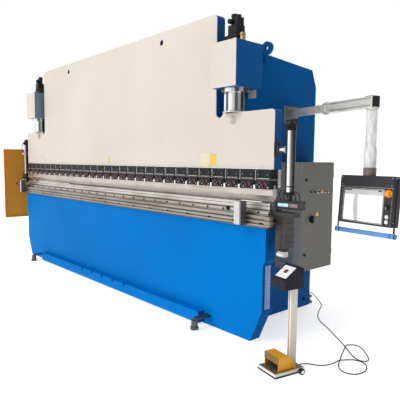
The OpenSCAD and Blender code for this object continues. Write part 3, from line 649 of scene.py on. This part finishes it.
def lead(name, points, radius, material, body):
    """A bent wire or hose along points, as a smooth curve."""
    curve = bpy.data.curves.new(name, "CURVE")
    curve.dimensions = "3D"
    curve.bevel_depth = radius
    curve.bevel_resolution = 3
    curve.use_fill_caps = True
    spline = curve.splines.new("BEZIER")
    spline.bezier_points.add(len(points) - 1)
    for knot, point in zip(spline.bezier_points, points):
        knot.co = point
        knot.handle_left_type = knot.handle_right_type = "AUTO"
    return mount(bpy.data.objects.new(name, curve), material, body)


# -------- pedal cable

CABLE_ROUTE = [
    (2.014, 1.206, 0.110), (2.014, 1.236, 0.108), (2.019, 1.262, 0.098), (2.034, 1.284, 0.080),
    (2.056, 1.298, 0.054), (2.082, 1.302, 0.030), (2.110, 1.292, 0.013), (2.140, 1.268, 0.005),
    (2.174, 1.222, 0.004), (2.206, 1.160, 0.004), (2.238, 1.090, 0.004), (2.280, 1.010, 0.004),
    (2.326, 0.935, 0.004), (2.380, 0.868, 0.004), (2.440, 0.812, 0.004), (2.510, 0.762, 0.004),
    (2.590, 0.706, 0.004), (2.670, 0.645, 0.004), (2.750, 0.583, 0.004), (2.820, 0.528, 0.004),
    (2.880, 0.480, 0.004), (2.930, 0.437, 0.004), (2.975, 0.398, 0.004), (3.020, 0.358, 0.004),
    (3.065, 0.326, 0.004), (3.108, 0.310, 0.004), (3.142, 0.318, 0.004), (3.158, 0.346, 0.004),
    (3.148, 0.384, 0.004), (3.120, 0.424, 0.004), (3.080, 0.466, 0.004), (3.038, 0.508, 0.004),
    (2.994, 0.542, 0.004), (2.952, 0.552, 0.004), (2.920, 0.532, 0.004), (2.906, 0.496, 0.008),
    (2.912, 0.455, 0.013), (2.926, 0.418, 0.012), (2.942, 0.376, 0.007), (2.962, 0.322, 0.004),
    (2.988, 0.262, 0.004), (3.014, 0.204, 0.004), (3.040, 0.148, 0.004), (3.068, 0.098, 0.004),
    (3.104, 0.062, 0.004), (3.148, 0.046, 0.004), (3.192, 0.058, 0.004), (3.222, 0.094, 0.004),
    (3.234, 0.144, 0.004), (3.228, 0.198, 0.004), (3.206, 0.248, 0.004), (3.172, 0.284, 0.004),
    (3.130, 0.298, 0.004), (3.088, 0.288, 0.004), (3.056, 0.258, 0.004), (3.038, 0.216, 0.008),
    (3.030, 0.186, 0.013), (3.024, 0.152, 0.013), (3.018, 0.120, 0.008), (3.012, 0.096, 0.005),
    (3.002, 0.064, 0.004), (2.988, 0.034, 0.004), (2.970, 0.010, 0.004), (2.948, -0.008, 0.004),
    (2.926, -0.022, 0.005), (2.907, -0.038, 0.007), (2.893, -0.056, 0.010),
    (2.885, -0.075, 0.013), (2.881, -0.095, 0.015), (2.8769, -0.1146, 0.015),
]
CABLE_DIAMETER = 0.008


def make_pedal_cable():
    cable = lead("pedal_cable_black", CABLE_ROUTE, CABLE_DIAMETER / 2, "rubber", "machine")
    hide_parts("pedal_cable")


make_pedal_cable()

# -------- frame, bed and ram details


def make_end_strips():
    """Pale strips with a row of small screws on both ends of the bed."""
    bed_end = 2.446
    strip_face = bed_end + 0.005
    strips = []
    screws = []
    for side in (-1, 1):
        left, right = sorted((side * bed_end, side * strip_face))
        strips.append(((left, -0.012, 0.292), (right, 0.052, 0.655)))
        screws += [axis_place((side * strip_face, 0.020, 0.310 + k * 0.0295), (side, 0, 0))
                   for k in range(12)]
    boxes("bed_end_strips", strips, "strip", "machine", bevel=0.002)
    turned("bed_end_screws", screw_profile(0.0075, 0.004), screws,
           "ground", "machine", 20)


def make_apron_bolts():
    """Hold-down bolts in the five slots of the toe apron."""
    slot_pitch = 0.245
    turned("apron_bolts", screw_profile(0.010, 0.008),
           [axis_place((k * slot_pitch, -0.085, 0.100), UP) for k in range(-2, 3)],
           "black", "machine")


def make_ram_details():
    """Access covers under the rods, blank plates low on the ram and a seam over the clamps."""
    turned("ram_access_covers", [(0.032, 0), (0.032, 0.004), (0.028, 0.006), (0.014, 0.006),
                                 (0.012, 0.010), (0.0005, 0.010)],
           [axis_place((side * 2.050, 0, 1.840), FRONT) for side in (-1, 1)],
           "ground", "ram")
    boxes("ram_lower_seam", [((-RAM_HALF + 0.002, -0.003, 1.431), (RAM_HALF - 0.002, 0, 1.438))],
          "bright", "ram", bevel=0.001)
    for name, key, low, high in (("ram_plate_yellow", "yellow", (1.765, 1.452), (1.848, 1.558)),
                                 ("ram_plate_pale", "label", (1.640, 1.440), (1.757, 1.566)),
                                 ("ram_plate_middle", "yellow", (-0.022, 1.462), (0.022, 1.532)),
                                 ("ram_plate_left", "label", (-1.820, 1.530), (-1.755, 1.590))):
        plates(name, [(low, high)], 0.0015, 0.006, key, "ram", bevel=0.0005)


def make_clamp_details():
    """Red levers, white dots and a grey wedge on each clamp, and pale spacers between clamps."""
    face = -0.030
    levers = []
    dots = []
    wedges = []
    spacers = []
    for k in range(CLAMP_COUNT):
        x = -RAM_HALF + (k + 0.5) * CLAMP_PITCH
        for dx, width, z in ((-0.026, 0.009, 1.322), (0.006, 0.007, 1.286), (0.030, 0.012, 1.320)):
            levers.append(((x + dx - width, face - 0.006, z - 0.006),
                           (x + dx + width, face, z + 0.006)))
        wedges.append(((x - 0.062, -0.022, 1.354), (x + 0.062, -0.018, 1.360)))
        if k:
            seam = x - CLAMP_PITCH / 2
            spacers.append(((seam - 0.0108, -0.028, 1.268), (seam + 0.0108, 0.056, 1.304)))
            wedges.append(((seam - 0.0040, -0.016, 1.306), (seam + 0.0040, 0.056, 1.424)))
        dots += [axis_place((x + dx, face, z), FRONT) for dx, z in ((-0.028, 1.292), (0.058, 1.288))]
    boxes("clamp_levers", levers, "red", "ram", bevel=0.002)
    turned("clamp_dots", [(0.0045, 0), (0.0045, 0.004), (0.003, 0.006), (0.0005, 0.006)], dots,
           "white", "ram", 18)
    boxes("clamp_wedges", wedges, "ground", "ram", bevel=0.0012)
    boxes("clamp_spacers", spacers, "notch", "ram", bevel=0.0015)


def make_table_details():
    """Rows of screws along the table plate and the front rail."""
    plate_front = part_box("table_plate")[0].y
    rail_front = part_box("front_rail")[0].y
    screws = bmesh.new()
    for k in range(-12, 13):
        add_lathe(screws, screw_profile(0.008, 0.006),
                  axis_place((k * 0.2, plate_front, 1.088), FRONT), 20)
    for k in range(-8, 9):
        add_lathe(screws, screw_profile(0.009, 0.007),
                  axis_place((k * 0.3 + 0.05, rail_front + 0.015, 1.006), FRONT), 20)
    piece("table_screws", screws, "black", "machine")


def make_rod_couplings():
    """Round flange and studs that fix each piston rod to the ram's shoulder."""
    shoulder = 1.904
    stud_circle = 0.097
    flanges = []
    studs = []
    for side in (-1, 1):
        x = side * CYLINDER_X
        flanges.append(at(x, CYLINDER_Y, shoulder))
        for k in range(8):
            a = math.radians(22.5 + 45 * k)
            studs.append(at(x + stud_circle * math.cos(a), CYLINDER_Y + stud_circle * math.sin(a),
                            shoulder + 0.0098))
    turned("rod_flanges", [(0.108, 0), (0.108, 0.007), (0.105, 0.010), (0.081, 0.010), (0.081, 0)],
           flanges, "bright", "ram", 64, bevel=0.001)
    turned("rod_studs", screw_profile(0.0065, 0.004), studs, "black", "ram", 20)


make_end_strips()
make_apron_bolts()
make_ram_details()
make_clamp_details()
make_table_details()
make_rod_couplings()

# -------- hydraulics


def make_valve_details():
    """Coil caps, cap screws and pale elbows of the two prefill valves."""
    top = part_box("cylinder_housings")[1].z
    coils = bmesh.new()
    screws = []
    elbows = []
    for side in (-1, 1):
        x = side * CYLINDER_X
        for dx, radius, height in ((-side * 0.022, 0.0265, 0.222), (side * 0.030, 0.018, 0.214)):
            add_lathe(coils, [(radius, 0), (radius + 0.003, 0.006), (radius + 0.003, 0.016),
                              (radius, 0.020), (radius * 0.5, 0.024), (0.001, 0.024)],
                      at(x + dx, CYLINDER_Y, top + height))
        screws += [at(x + dx, CYLINDER_Y + dy, top + 0.026)
                   for dx in (-0.050, 0.050) for dy in (-0.040, 0.040)]
        elbows.append(at(side * (CYLINDER_X + 0.094), 0.010, top))
    piece("valve_coil_caps", coils, "plastic", "machine")
    turned("valve_screws", screw_profile(0.007, 0.007), screws,
           "ground", "machine", 20)
    turned("valve_elbows", [(0.026, 0), (0.026, 0.012), (0.0225, 0.016), (0.0225, 0.050),
                            (0.026, 0.054), (0.026, 0.066), (0.0215, 0.068), (0.0215, 0.0745)],
           elbows, "brass", "machine", 32)


def make_motor_details():
    """Cooling fins and fan grille of the pump motor, and bolts of the tank's covers."""
    axis_y, axis_z = 0.780, 2.380
    fin_count = 36
    fins = bmesh.new()
    for k in range(fin_count):
        place = at(0, axis_y, axis_z) @ turn(360 * k / fin_count, "X")
        add_box(fins, (-0.200, -0.003, 0.118), (0.120, 0.003, 0.134), place)
    piece("motor_fins", fins, "black", "machine", bevel=0.001)
    grille = bmesh.new()
    for k in range(5):
        r = 0.025 + 0.017 * k
        add_lathe(grille, tube_profile(r, r + 0.006, 0, 0.006),
                  axis_place((-0.280, axis_y, axis_z), (-1, 0, 0)), 48)
    piece("motor_grille", grille, "ground", "machine")
    turned("tank_cover_bolts", screw_profile(0.009, 0.008),
           [axis_place((-0.27 + 0.09 * k, 1.012, z), (0, 1, 0))
            for k in range(7) for z in (1.970, 2.170)],
           "ground", "machine", 20)


make_valve_details()
make_motor_details()

# -------- light guards


def make_light_guard(side, body, tag):
    """Head clamp, fitting, receiver window and looped leads of one light guard."""
    x, y = side * 2.640, 0.027
    trim = bmesh.new()
    for low, high, radius in ((1.240, 1.262, 0.0405), (1.300, 1.308, 0.0392),
                              (1.728, 1.776, 0.0410)):
        add_lathe(trim, tube_profile(0.030, radius, low, high), at(x, y, 0), 48)
    add_box(trim, (x - 0.050, y - 0.008, 1.800), (x + 0.050, y + 0.008, 1.812))
    add_box(trim, (x - 0.012, y - 0.052, 1.740), (x + 0.012, y - 0.030, 1.766))
    piece("light_column_trim_" + tag, trim, "black", body, bevel=0.0015)
    turned("light_column_fitting_" + tag,
           [(0.014, -0.004), (0.014, 0.014), (0.010, 0.018), (0.010, 0.034), (0.006, 0.036)],
           [axis_place((x - 0.036, y - 0.030, 1.585), (-0.7, -0.7, 0))],
           "white", body)
    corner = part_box("laser_right")[0]
    left, right = (2.552, 2.764) if side > 0 else (-2.764, -2.552)
    # The receiver window shines as painted light.
    for name, key, start, end, z0, z1 in (
            ("light_window_" + tag, "painted_glow", 0.05, 0.52, 0.022, 0.046),
            ("light_badge_" + tag, "rose", 0.58, 0.92, 0.020, 0.048)):
        plates(name, [((left + start * (right - left), corner.z + z0),
                       (left + end * (right - left), corner.z + z1))],
               0.003, 0.004, key, body, bevel=0.0006,
               place=at(0, corner.y - 0.0005, 0))
    boxes("light_box_rims_" + tag,
          [((left - 0.001, corner.y - 0.002, z), (right + 0.001, corner.y + 0.078, z + 0.005))
           for z in (corner.z + 0.008, corner.z + 0.056)],
          "plastic", body, bevel=0.001)
    for k in range(6):
        start = left + 0.020 + 0.034 * k
        lean = (start - x) * 0.75
        points = [(start, y - 0.012, 1.195), (start - 0.006 + 0.15 * lean, y - 0.020, 1.235),
                  (x + 0.95 * lean, y - 0.024, 1.272 - 0.006 * (k % 2)),
                  (x + 0.55 * lean, y - 0.012, 1.245), (x + 0.30 * lean, y, 1.204)]
        lead("light_lead_%s_%d" % (tag, k + 1), points, 0.0032, "rubber", body)
    lead("light_column_lead_" + tag,
         [(x - 0.020, y - 0.034, 1.770), (x - 0.044, y - 0.046, 1.735),
          (x - 0.052, y - 0.050, 1.680), (x - 0.058, y - 0.055, 1.630),
          (x - 0.060, y - 0.054, 1.600)],
         0.0035, "rubber", body)


make_light_guard(1, "right_laser", "right")
make_light_guard(-1, "left_laser", "left")

# -------- side guard

GUARD_BACK = 0.200
GUARD_EDGE = 0.022
GUARD_LOW, GUARD_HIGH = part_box("side_guard")
GUARD_X = (GUARD_LOW.x + GUARD_HIGH.x) / 2


def make_guard_frame():
    """Rim of the guard with its two hinge knuckles."""
    low, high = GUARD_LOW, GUARD_HIGH
    bm = bmesh.new()
    for y0, y1, z0, z1 in (
            (low.y, low.y + GUARD_EDGE, low.z, high.z),
            (GUARD_BACK - GUARD_EDGE, GUARD_BACK, low.z, high.z),
            (low.y + GUARD_EDGE, GUARD_BACK - GUARD_EDGE, low.z, low.z + GUARD_EDGE),
            (low.y + GUARD_EDGE, GUARD_BACK - GUARD_EDGE, high.z - GUARD_EDGE, high.z)):
        add_box(bm, (low.x, y0, z0), (high.x, y1, z1))
    for z in (0.6704, 1.5304):
        add_box(bm, (GUARD_X - 0.006, GUARD_BACK - 0.002, z), (GUARD_X + 0.006, 0.212, z + 0.028))
        add_lathe(bm, tube_profile(0.0052, 0.010, 0, 0.028), at(GUARD_X, 0.222, z), 32)
    rim = piece("side_guard_frame", bm, "amber", "guard", bevel=0.002)
    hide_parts("side_guard")


def add_hole_cell(bm, faces_x, y, z, half_y, half_z, radius):
    """A rectangle of sheet round one eight-sided hole: both faces and the hole's wall."""
    corners = ((1, 0), (1, 1), (0, 1), (-1, 1), (-1, 0), (-1, -1), (0, -1), (1, -1))
    holes = []
    for x in faces_x:
        outer = [bm.verts.new((x, y + a * half_y, z + b * half_z)) for a, b in corners]
        inner = [bm.verts.new((x, y + radius * math.cos(k * math.pi / 4),
                               z + radius * math.sin(k * math.pi / 4))) for k in range(8)]
        bridge(bm, outer, inner)
        holes.append(inner)
    bridge(bm, *holes)


def make_guard_sheet():
    """Sheet with a field of round holes, inside the guard's rim."""
    columns, rows = 22, 54
    hole_radius = 0.0020
    half_thickness = 0.0015
    y0, y1 = GUARD_LOW.y + GUARD_EDGE, GUARD_BACK - GUARD_EDGE
    z0, z1 = GUARD_LOW.z + GUARD_EDGE, GUARD_HIGH.z - GUARD_EDGE
    cell_y, cell_z = (y1 - y0) / columns, (z1 - z0) / rows
    bm = bmesh.new()
    for i in range(columns):
        for j in range(rows):
            add_hole_cell(bm, (GUARD_X - half_thickness, GUARD_X + half_thickness),
                          y0 + (i + 0.5) * cell_y, z0 + (j + 0.5) * cell_z,
                          cell_y / 2, cell_z / 2, hole_radius)
    sheet = piece("side_guard_mesh", bm, "amber", "guard")
    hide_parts("side_guard")


make_guard_frame()
make_guard_sheet()

# -------- cabinet


def make_cabinet_details():
    """Lamps and rings on the door, a blank warning triangle, and the shell's gutter and louvres."""
    door_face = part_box("door_button_left")[1].x - 0.012
    row_z = 1.217
    for name, key, y, radius, height in (("door_lamp_1", "plastic", 0.844, 0.011, 0.012),
                                         ("door_lamp_2", "orange", 0.900, 0.011, 0.014),
                                         ("door_lamp_3", "red", 0.963, 0.012, 0.016),
                                         ("door_lamp_4", "dark_red", 1.015, 0.011, 0.012)):
        turned(name, [(radius, 0.002), (radius, height * 0.6), (radius * 0.8, height * 0.9),
                      (radius * 0.45, height), (0.0005, height)],
               [axis_place((door_face, y, row_z), RIGHT)], key, "door", smooth=True)
    rings = bmesh.new()
    for y, radius in ((0.722, 0.0175), (0.781, 0.0175), (0.844, 0.0165), (0.900, 0.0165),
                      (0.963, 0.0165), (1.015, 0.0165)):
        add_lathe(rings, ring_profile(radius - 0.004, radius, 0.002, 0.003, 0.005),
                  axis_place((door_face, y, row_z), RIGHT))
    piece("door_rings", rings, "bright", "door")
    triangle = bmesh.new()
    outline = [(0.836 + 0.030 * math.sin(math.radians(a)), 1.007 + 0.030 * math.cos(math.radians(a)))
               for a in (0, 120, 240)]
    add_slab(triangle, [(door_face + 0.0012, y, z) for y, z in outline],
             [(door_face, y, z) for y, z in outline])
    piece("door_triangle", triangle, "yellow", "door")
    low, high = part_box("cabinet_shell")
    gutter = ((low.x + 0.003, low.y - 0.006, high.z - 0.012), (2.331, low.y, high.z))
    louvres = [((low.x + 0.070, low.y - 0.004, low.z + 0.060 + 0.014 * k),
                (2.270, low.y, low.z + 0.060 + 0.014 * k + 0.006)) for k in range(9)]
    boxes("cabinet_louvres", [gutter, *louvres], "grey", "machine", bevel=0.0015)


make_cabinet_details()

# -------- arm and panel


def make_arm_details():
    """Black caps, seams and elbow washers of the second link."""
    end = LINK_1 + LINK_2 + 0.031
    boxes("arm_end_cap", [((end, -0.036, -0.042), (end + 0.007, 0.036, 0.042)),
                          ((end - 0.075, -0.0365, 0.041), (end, 0.0365, 0.0445))],
          "plastic", "second_link", bevel=0.002, place=ARM)
    turned("arm_elbow_caps",
           [(0.026, 0), (0.026, 0.003), (0.017, 0.005), (0.016, 0.011), (0.0005, 0.011)],
           [ARM @ axis_place((LINK_1, 0, way * 0.041), (0, 0, way)) for way in (1, -1)],
           "ground", "second_link")
    boxes("arm_seams", [((LINK_1 + 0.070, y, z), (end - 0.010, y + 0.001, z + 0.006))
                        for y in (-0.0355, 0.0345) for z in (-0.030, 0.024)],
          "ground", "second_link", place=ARM)


def wrapping_radius(z, angle, t):
    """Radius of the crumpled wrapping: two swellings near its foot, and small folds all along."""
    swell = 0.0085 * math.exp(-((z - 1.545) / 0.040) ** 2)
    swell += 0.003 * math.exp(-((z - 1.480) / 0.016) ** 2)
    crumple = 0.0011 * math.sin(5 * angle + 31 * t) * math.sin(23 * t + 2 * angle)
    crumple += 0.0007 * math.sin(9 * angle - 57 * t)
    radius = 0.0385 + swell + crumple
    return max(radius, 0.0450) if z < 1.600 else radius


def make_pendant_wrapping():
    """Crumpled white wrapping round the pendant tube."""
    steps, around = 46, 48
    low_z, high_z = COLLAR_TOP, 1.884
    wrap = bmesh.new()
    rings = []
    for i in range(steps + 1):
        t = i / steps
        z = low_z + t * (high_z - low_z)
        ring = []
        for k in range(around):
            angle = 2 * math.pi * k / around
            r = wrapping_radius(z, angle, t)
            ring.append(wrap.verts.new((ARM_END.x + r * math.cos(angle),
                                        ARM_END.y + r * math.sin(angle), z)))
        rings.append(ring)
    for lower, upper in zip(rings, rings[1:]):
        bridge(wrap, lower, upper)
    wrap.faces.new(rings[0][::-1])
    wrap.faces.new(rings[-1])
    piece("pendant_wrapping", wrap, "pendant", "pendant", smooth=True)


def make_panel_screen():
    """Screen with its bezel and two dark tabs at its top edge."""
    plates("panel_screen", [((-0.196, -0.351), (0.142, -0.107))], 0.002, 0.004,
           "screen", "pendant", bevel=0.0006,
           place=PANEL @ at(0, PANEL_FACE + 0.005, 0))
    boxes("panel_bezel",
          [((x0, PANEL_FACE - 0.003, z0), (x1, PANEL_FACE + 0.001, z1)) for x0, z0, x1, z1 in (
              (-0.205, -0.360, 0.151, -0.354), (-0.205, -0.104, 0.151, -0.098),
              (-0.205, -0.354, -0.199, -0.104), (0.145, -0.354, 0.151, -0.104),
              (0.154, -0.360, 0.157, -0.098), (-0.221, -0.368, -0.219, -0.092),
              (0.219, -0.368, 0.221, -0.092))],
          "ground", "pendant", bevel=0.001, place=PANEL)
    plates("panel_screen_tabs", [((-0.196, -0.117), (-0.130, -0.109)),
                                 ((0.100, -0.117), (0.132, -0.109))],
           0.0005, 0.003, "plastic", "pendant",
           place=PANEL @ at(0, PANEL_FACE + 0.0028, 0))


def on_panel(x, z, lift=0.0):
    """A frame on the panel's face, or lifted off it, whose local Z points out of the panel."""
    return axis_place(PANEL @ Vector((x, PANEL_FACE - lift, z)), PANEL.to_3x3() @ Vector(FRONT))


def make_panel_controls():
    """Rings round the emergency stop and the buttons, and the selector's pointer."""
    turned("panel_estop_ring", ring_profile(0.0125, 0.029, 0.003, 0.003, 0.0045),
           [on_panel(CONTROL_X, -0.128)], "orange", "pendant", 56)
    turned("panel_button_rims", ring_profile(0.0118, 0.0155, 0.0015, 0.003, 0.0045),
           [on_panel(CONTROL_X, z) for z in (-0.298, -0.335)], "bright", "pendant")
    boxes("panel_selector_pointer", [((CONTROL_X - 0.0015, PANEL_FACE - 0.0205, -0.241),
                                      (CONTROL_X + 0.0015, PANEL_FACE - 0.0195, -0.226))],
          "white", "selector", place=PANEL)


def make_panel_fittings():
    """Visor seam with its screws, the grip's rings and the sleeves of the side rods."""
    visor = bmesh.new()
    add_box(visor, (-PANEL_HALF - 0.001, PANEL_FACE - 0.009, -0.0895),
            (PANEL_HALF + 0.001, PANEL_FACE, -0.0865), PANEL)
    for x in (-0.215, 0.215):
        for z in (-0.015, -0.072):
            add_lathe(visor, screw_profile(0.004, 0.002), on_panel(x, z, 0.008), 20)
    piece("panel_visor_seam", visor, "ground", "pendant", bevel=0.0006)
    turned("panel_grip_rings", [(0.0185, -0.004), (0.0205, -0.003), (0.0205, 0.003),
                                (0.0185, 0.004)],
           [PANEL @ at(x, -0.030, -0.435) @ turn(90, "Y") for x in (-0.258, -0.222, 0.222, 0.258)],
           "navy", "pendant")
    turned("panel_rod_sleeves", [(0.0063, 0), (0.0066, 0.002), (0.0066, 0.398), (0.0063, 0.402)],
           [PANEL @ at(side * 0.245, -0.030, -0.414) for side in (-1, 1)],
           "black", "pendant", 24)


make_arm_details()
make_pendant_wrapping()
make_panel_screen()
make_panel_controls()
make_panel_fittings()

# -------- foot switch stand


def make_console_details():
    """Blank plate with a round-cornered mark on the console, its lower rim and a column stripe."""
    slope = math.degrees(math.atan2(0.090, 0.131))
    top = STAND @ at(-0.106, 0.160, 0.7132) @ turn(slope - 90, "X")
    plates("console_plate", [((-0.058, -0.058), (0.058, 0.058))], 0.0015, 0.004,
           "white", "machine", bevel=0.0005, place=top)
    plates("console_mark", [((-0.018, -0.012), (0.018, 0.022))], 0.0022, 0.010,
           "dark_red", "machine", bevel=0.0005, place=top)
    boxes("console_rim", [((-0.184, 0.093, 0.600), (-0.028, 0.264, 0.606))],
          "plastic", "machine", bevel=0.002, place=STAND)
    boxes("column_stripe", [((-0.1125, 0.2034, 0.034), (-0.1065, 0.2042, 0.598))],
          "red", "machine", place=STAND)


def make_base_details():
    """Edge and ribbed mat of the tray, wheel hubs, tread of the pedal and apron of its hood."""
    boxes("tray_edge", [((-0.2015, -0.0015, 0.0), (0.0015, 0.003, 0.012)),
                        ((-0.2015, 0.0, 0.0), (-0.197, 0.266, 0.012)),
                        ((-0.003, 0.0, 0.0), (0.0015, 0.266, 0.012))],
          "black", "machine", bevel=0.001, place=STAND)
    ribs = [((-0.190 + 0.020 * k, 0.006, 0.030), (-0.178 + 0.020 * k, 0.042, 0.0315))
            for k in range(9)]
    boxes("tray_mat", [*ribs, ((-0.192, 0.004, 0.0295), (-0.008, 0.262, 0.0305))],
          "ground", "machine", bevel=0.0006, place=STAND)
    turned("wheel_hubs", [(0.013, -0.002), (0.013, 0.001), (0.009, 0.0025), (0.0005, 0.0025)],
           [STAND @ axis_place((x, 0.212, 0.022), (way, 0, 0))
            for x, way in ((-0.2405, -1), (0.0405, 1))],
           "bright", "wheels")
    pedal = STAND @ at(0, 0.178, 0.058) @ turn(4, "X")
    boxes("pedal_tread", [((-0.160, -0.095 + 0.012 * k, 0.0048), (-0.045, -0.089 + 0.012 * k, 0.0068))
                          for k in range(7)],
          "rubber", "pedal", bevel=0.0008, place=pedal)
    # Painted shade: the hood's front apron is a darkened copy of its amber.
    boxes("hood_apron", [((-0.181, 0.0435, 0.0805), (-0.024, 0.046, 0.1305))],
          "brown", "machine", bevel=0.001, place=STAND)


make_console_details()
make_base_details()

# -------- crowning drive


def make_drive_details():
    """Ribs of the crowning gearbox and the lobes of its connector."""
    ribs = [((2.530, -0.003, 0.860 + 0.050 * k), (2.631, 0.115, 0.866 + 0.050 * k))
            for k in range(4)]
    boxes("drive_ribs", [*ribs, ((2.588, -0.004, 0.824), (2.592, 0.0, 1.060))],
          "drive", "machine", bevel=0.0015)
    turned("drive_connector_lobes", [(0.011, 0), (0.012, 0.004), (0.012, 0.020), (0.007, 0.024),
                                     (0.0005, 0.024)],
           [axis_place((x, 0.012, 0.769), FRONT) for x in (2.562, 2.584, 2.606)],
           "white", "machine", 28)


make_drive_details()

# -------- floor and light


def make_floor():
    bm = bmesh.new()
    bmesh.ops.create_grid(bm, x_segments=1, y_segments=1, size=60)
    mesh = bpy.data.meshes.new("floor")
    bm.to_mesh(mesh)
    bm.free()
    floor = bpy.data.objects.new("floor", mesh)
    floor.location.z = -0.0005
    bpy.context.scene.collection.objects.link(floor)
    s = Shader("floor_white")
    tone = s.mix(s.between(s.noise(0.6), 0.3, 0.7), (0.70, 0.70, 0.70), (0.73, 0.73, 0.73))
    s.link(tone, s.surface.inputs["Emission Color"])
    s.surface.inputs["Emission Strength"].default_value = 0.85
    s.rough(s.noise(2), 0.6, 0.8)
    floor.data.materials.append(s.colour(tone))


def make_world():
    """White surroundings that are dimmer towards +X, so that the right-hand sides fall off."""
    world = bpy.data.worlds.new("studio")
    bpy.context.scene.world = world
    world.use_nodes = True
    tree = world.node_tree
    background = tree.nodes["Background"]
    direction = tree.nodes.new("ShaderNodeTexCoord")
    split = tree.nodes.new("ShaderNodeSeparateXYZ")
    fade = tree.nodes.new("ShaderNodeMapRange")
    set_range(fade, -0.3, 0.7, 1.0, 0.24)
    tree.links.new(direction.outputs["Generated"], split.inputs[0])
    tree.links.new(split.outputs["X"], fade.inputs["Value"])
    tree.links.new(fade.outputs["Result"], background.inputs["Strength"])
    background.inputs["Color"].default_value = (1, 1, 1, 1)


def make_lights():
    """A soft key from the front left and above."""
    key = bpy.data.objects.new("key", bpy.data.lights.new("key", "SUN"))
    key.data.energy = 1.1
    key.data.angle = math.radians(35)
    key.rotation_euler = Vector((-0.35, -1.0, 0.75)).to_track_quat("Z", "Y").to_euler()
    bpy.context.scene.collection.objects.link(key)


make_floor()
make_world()
make_lights()
bpy.context.scene.view_settings.view_transform = "Standard"
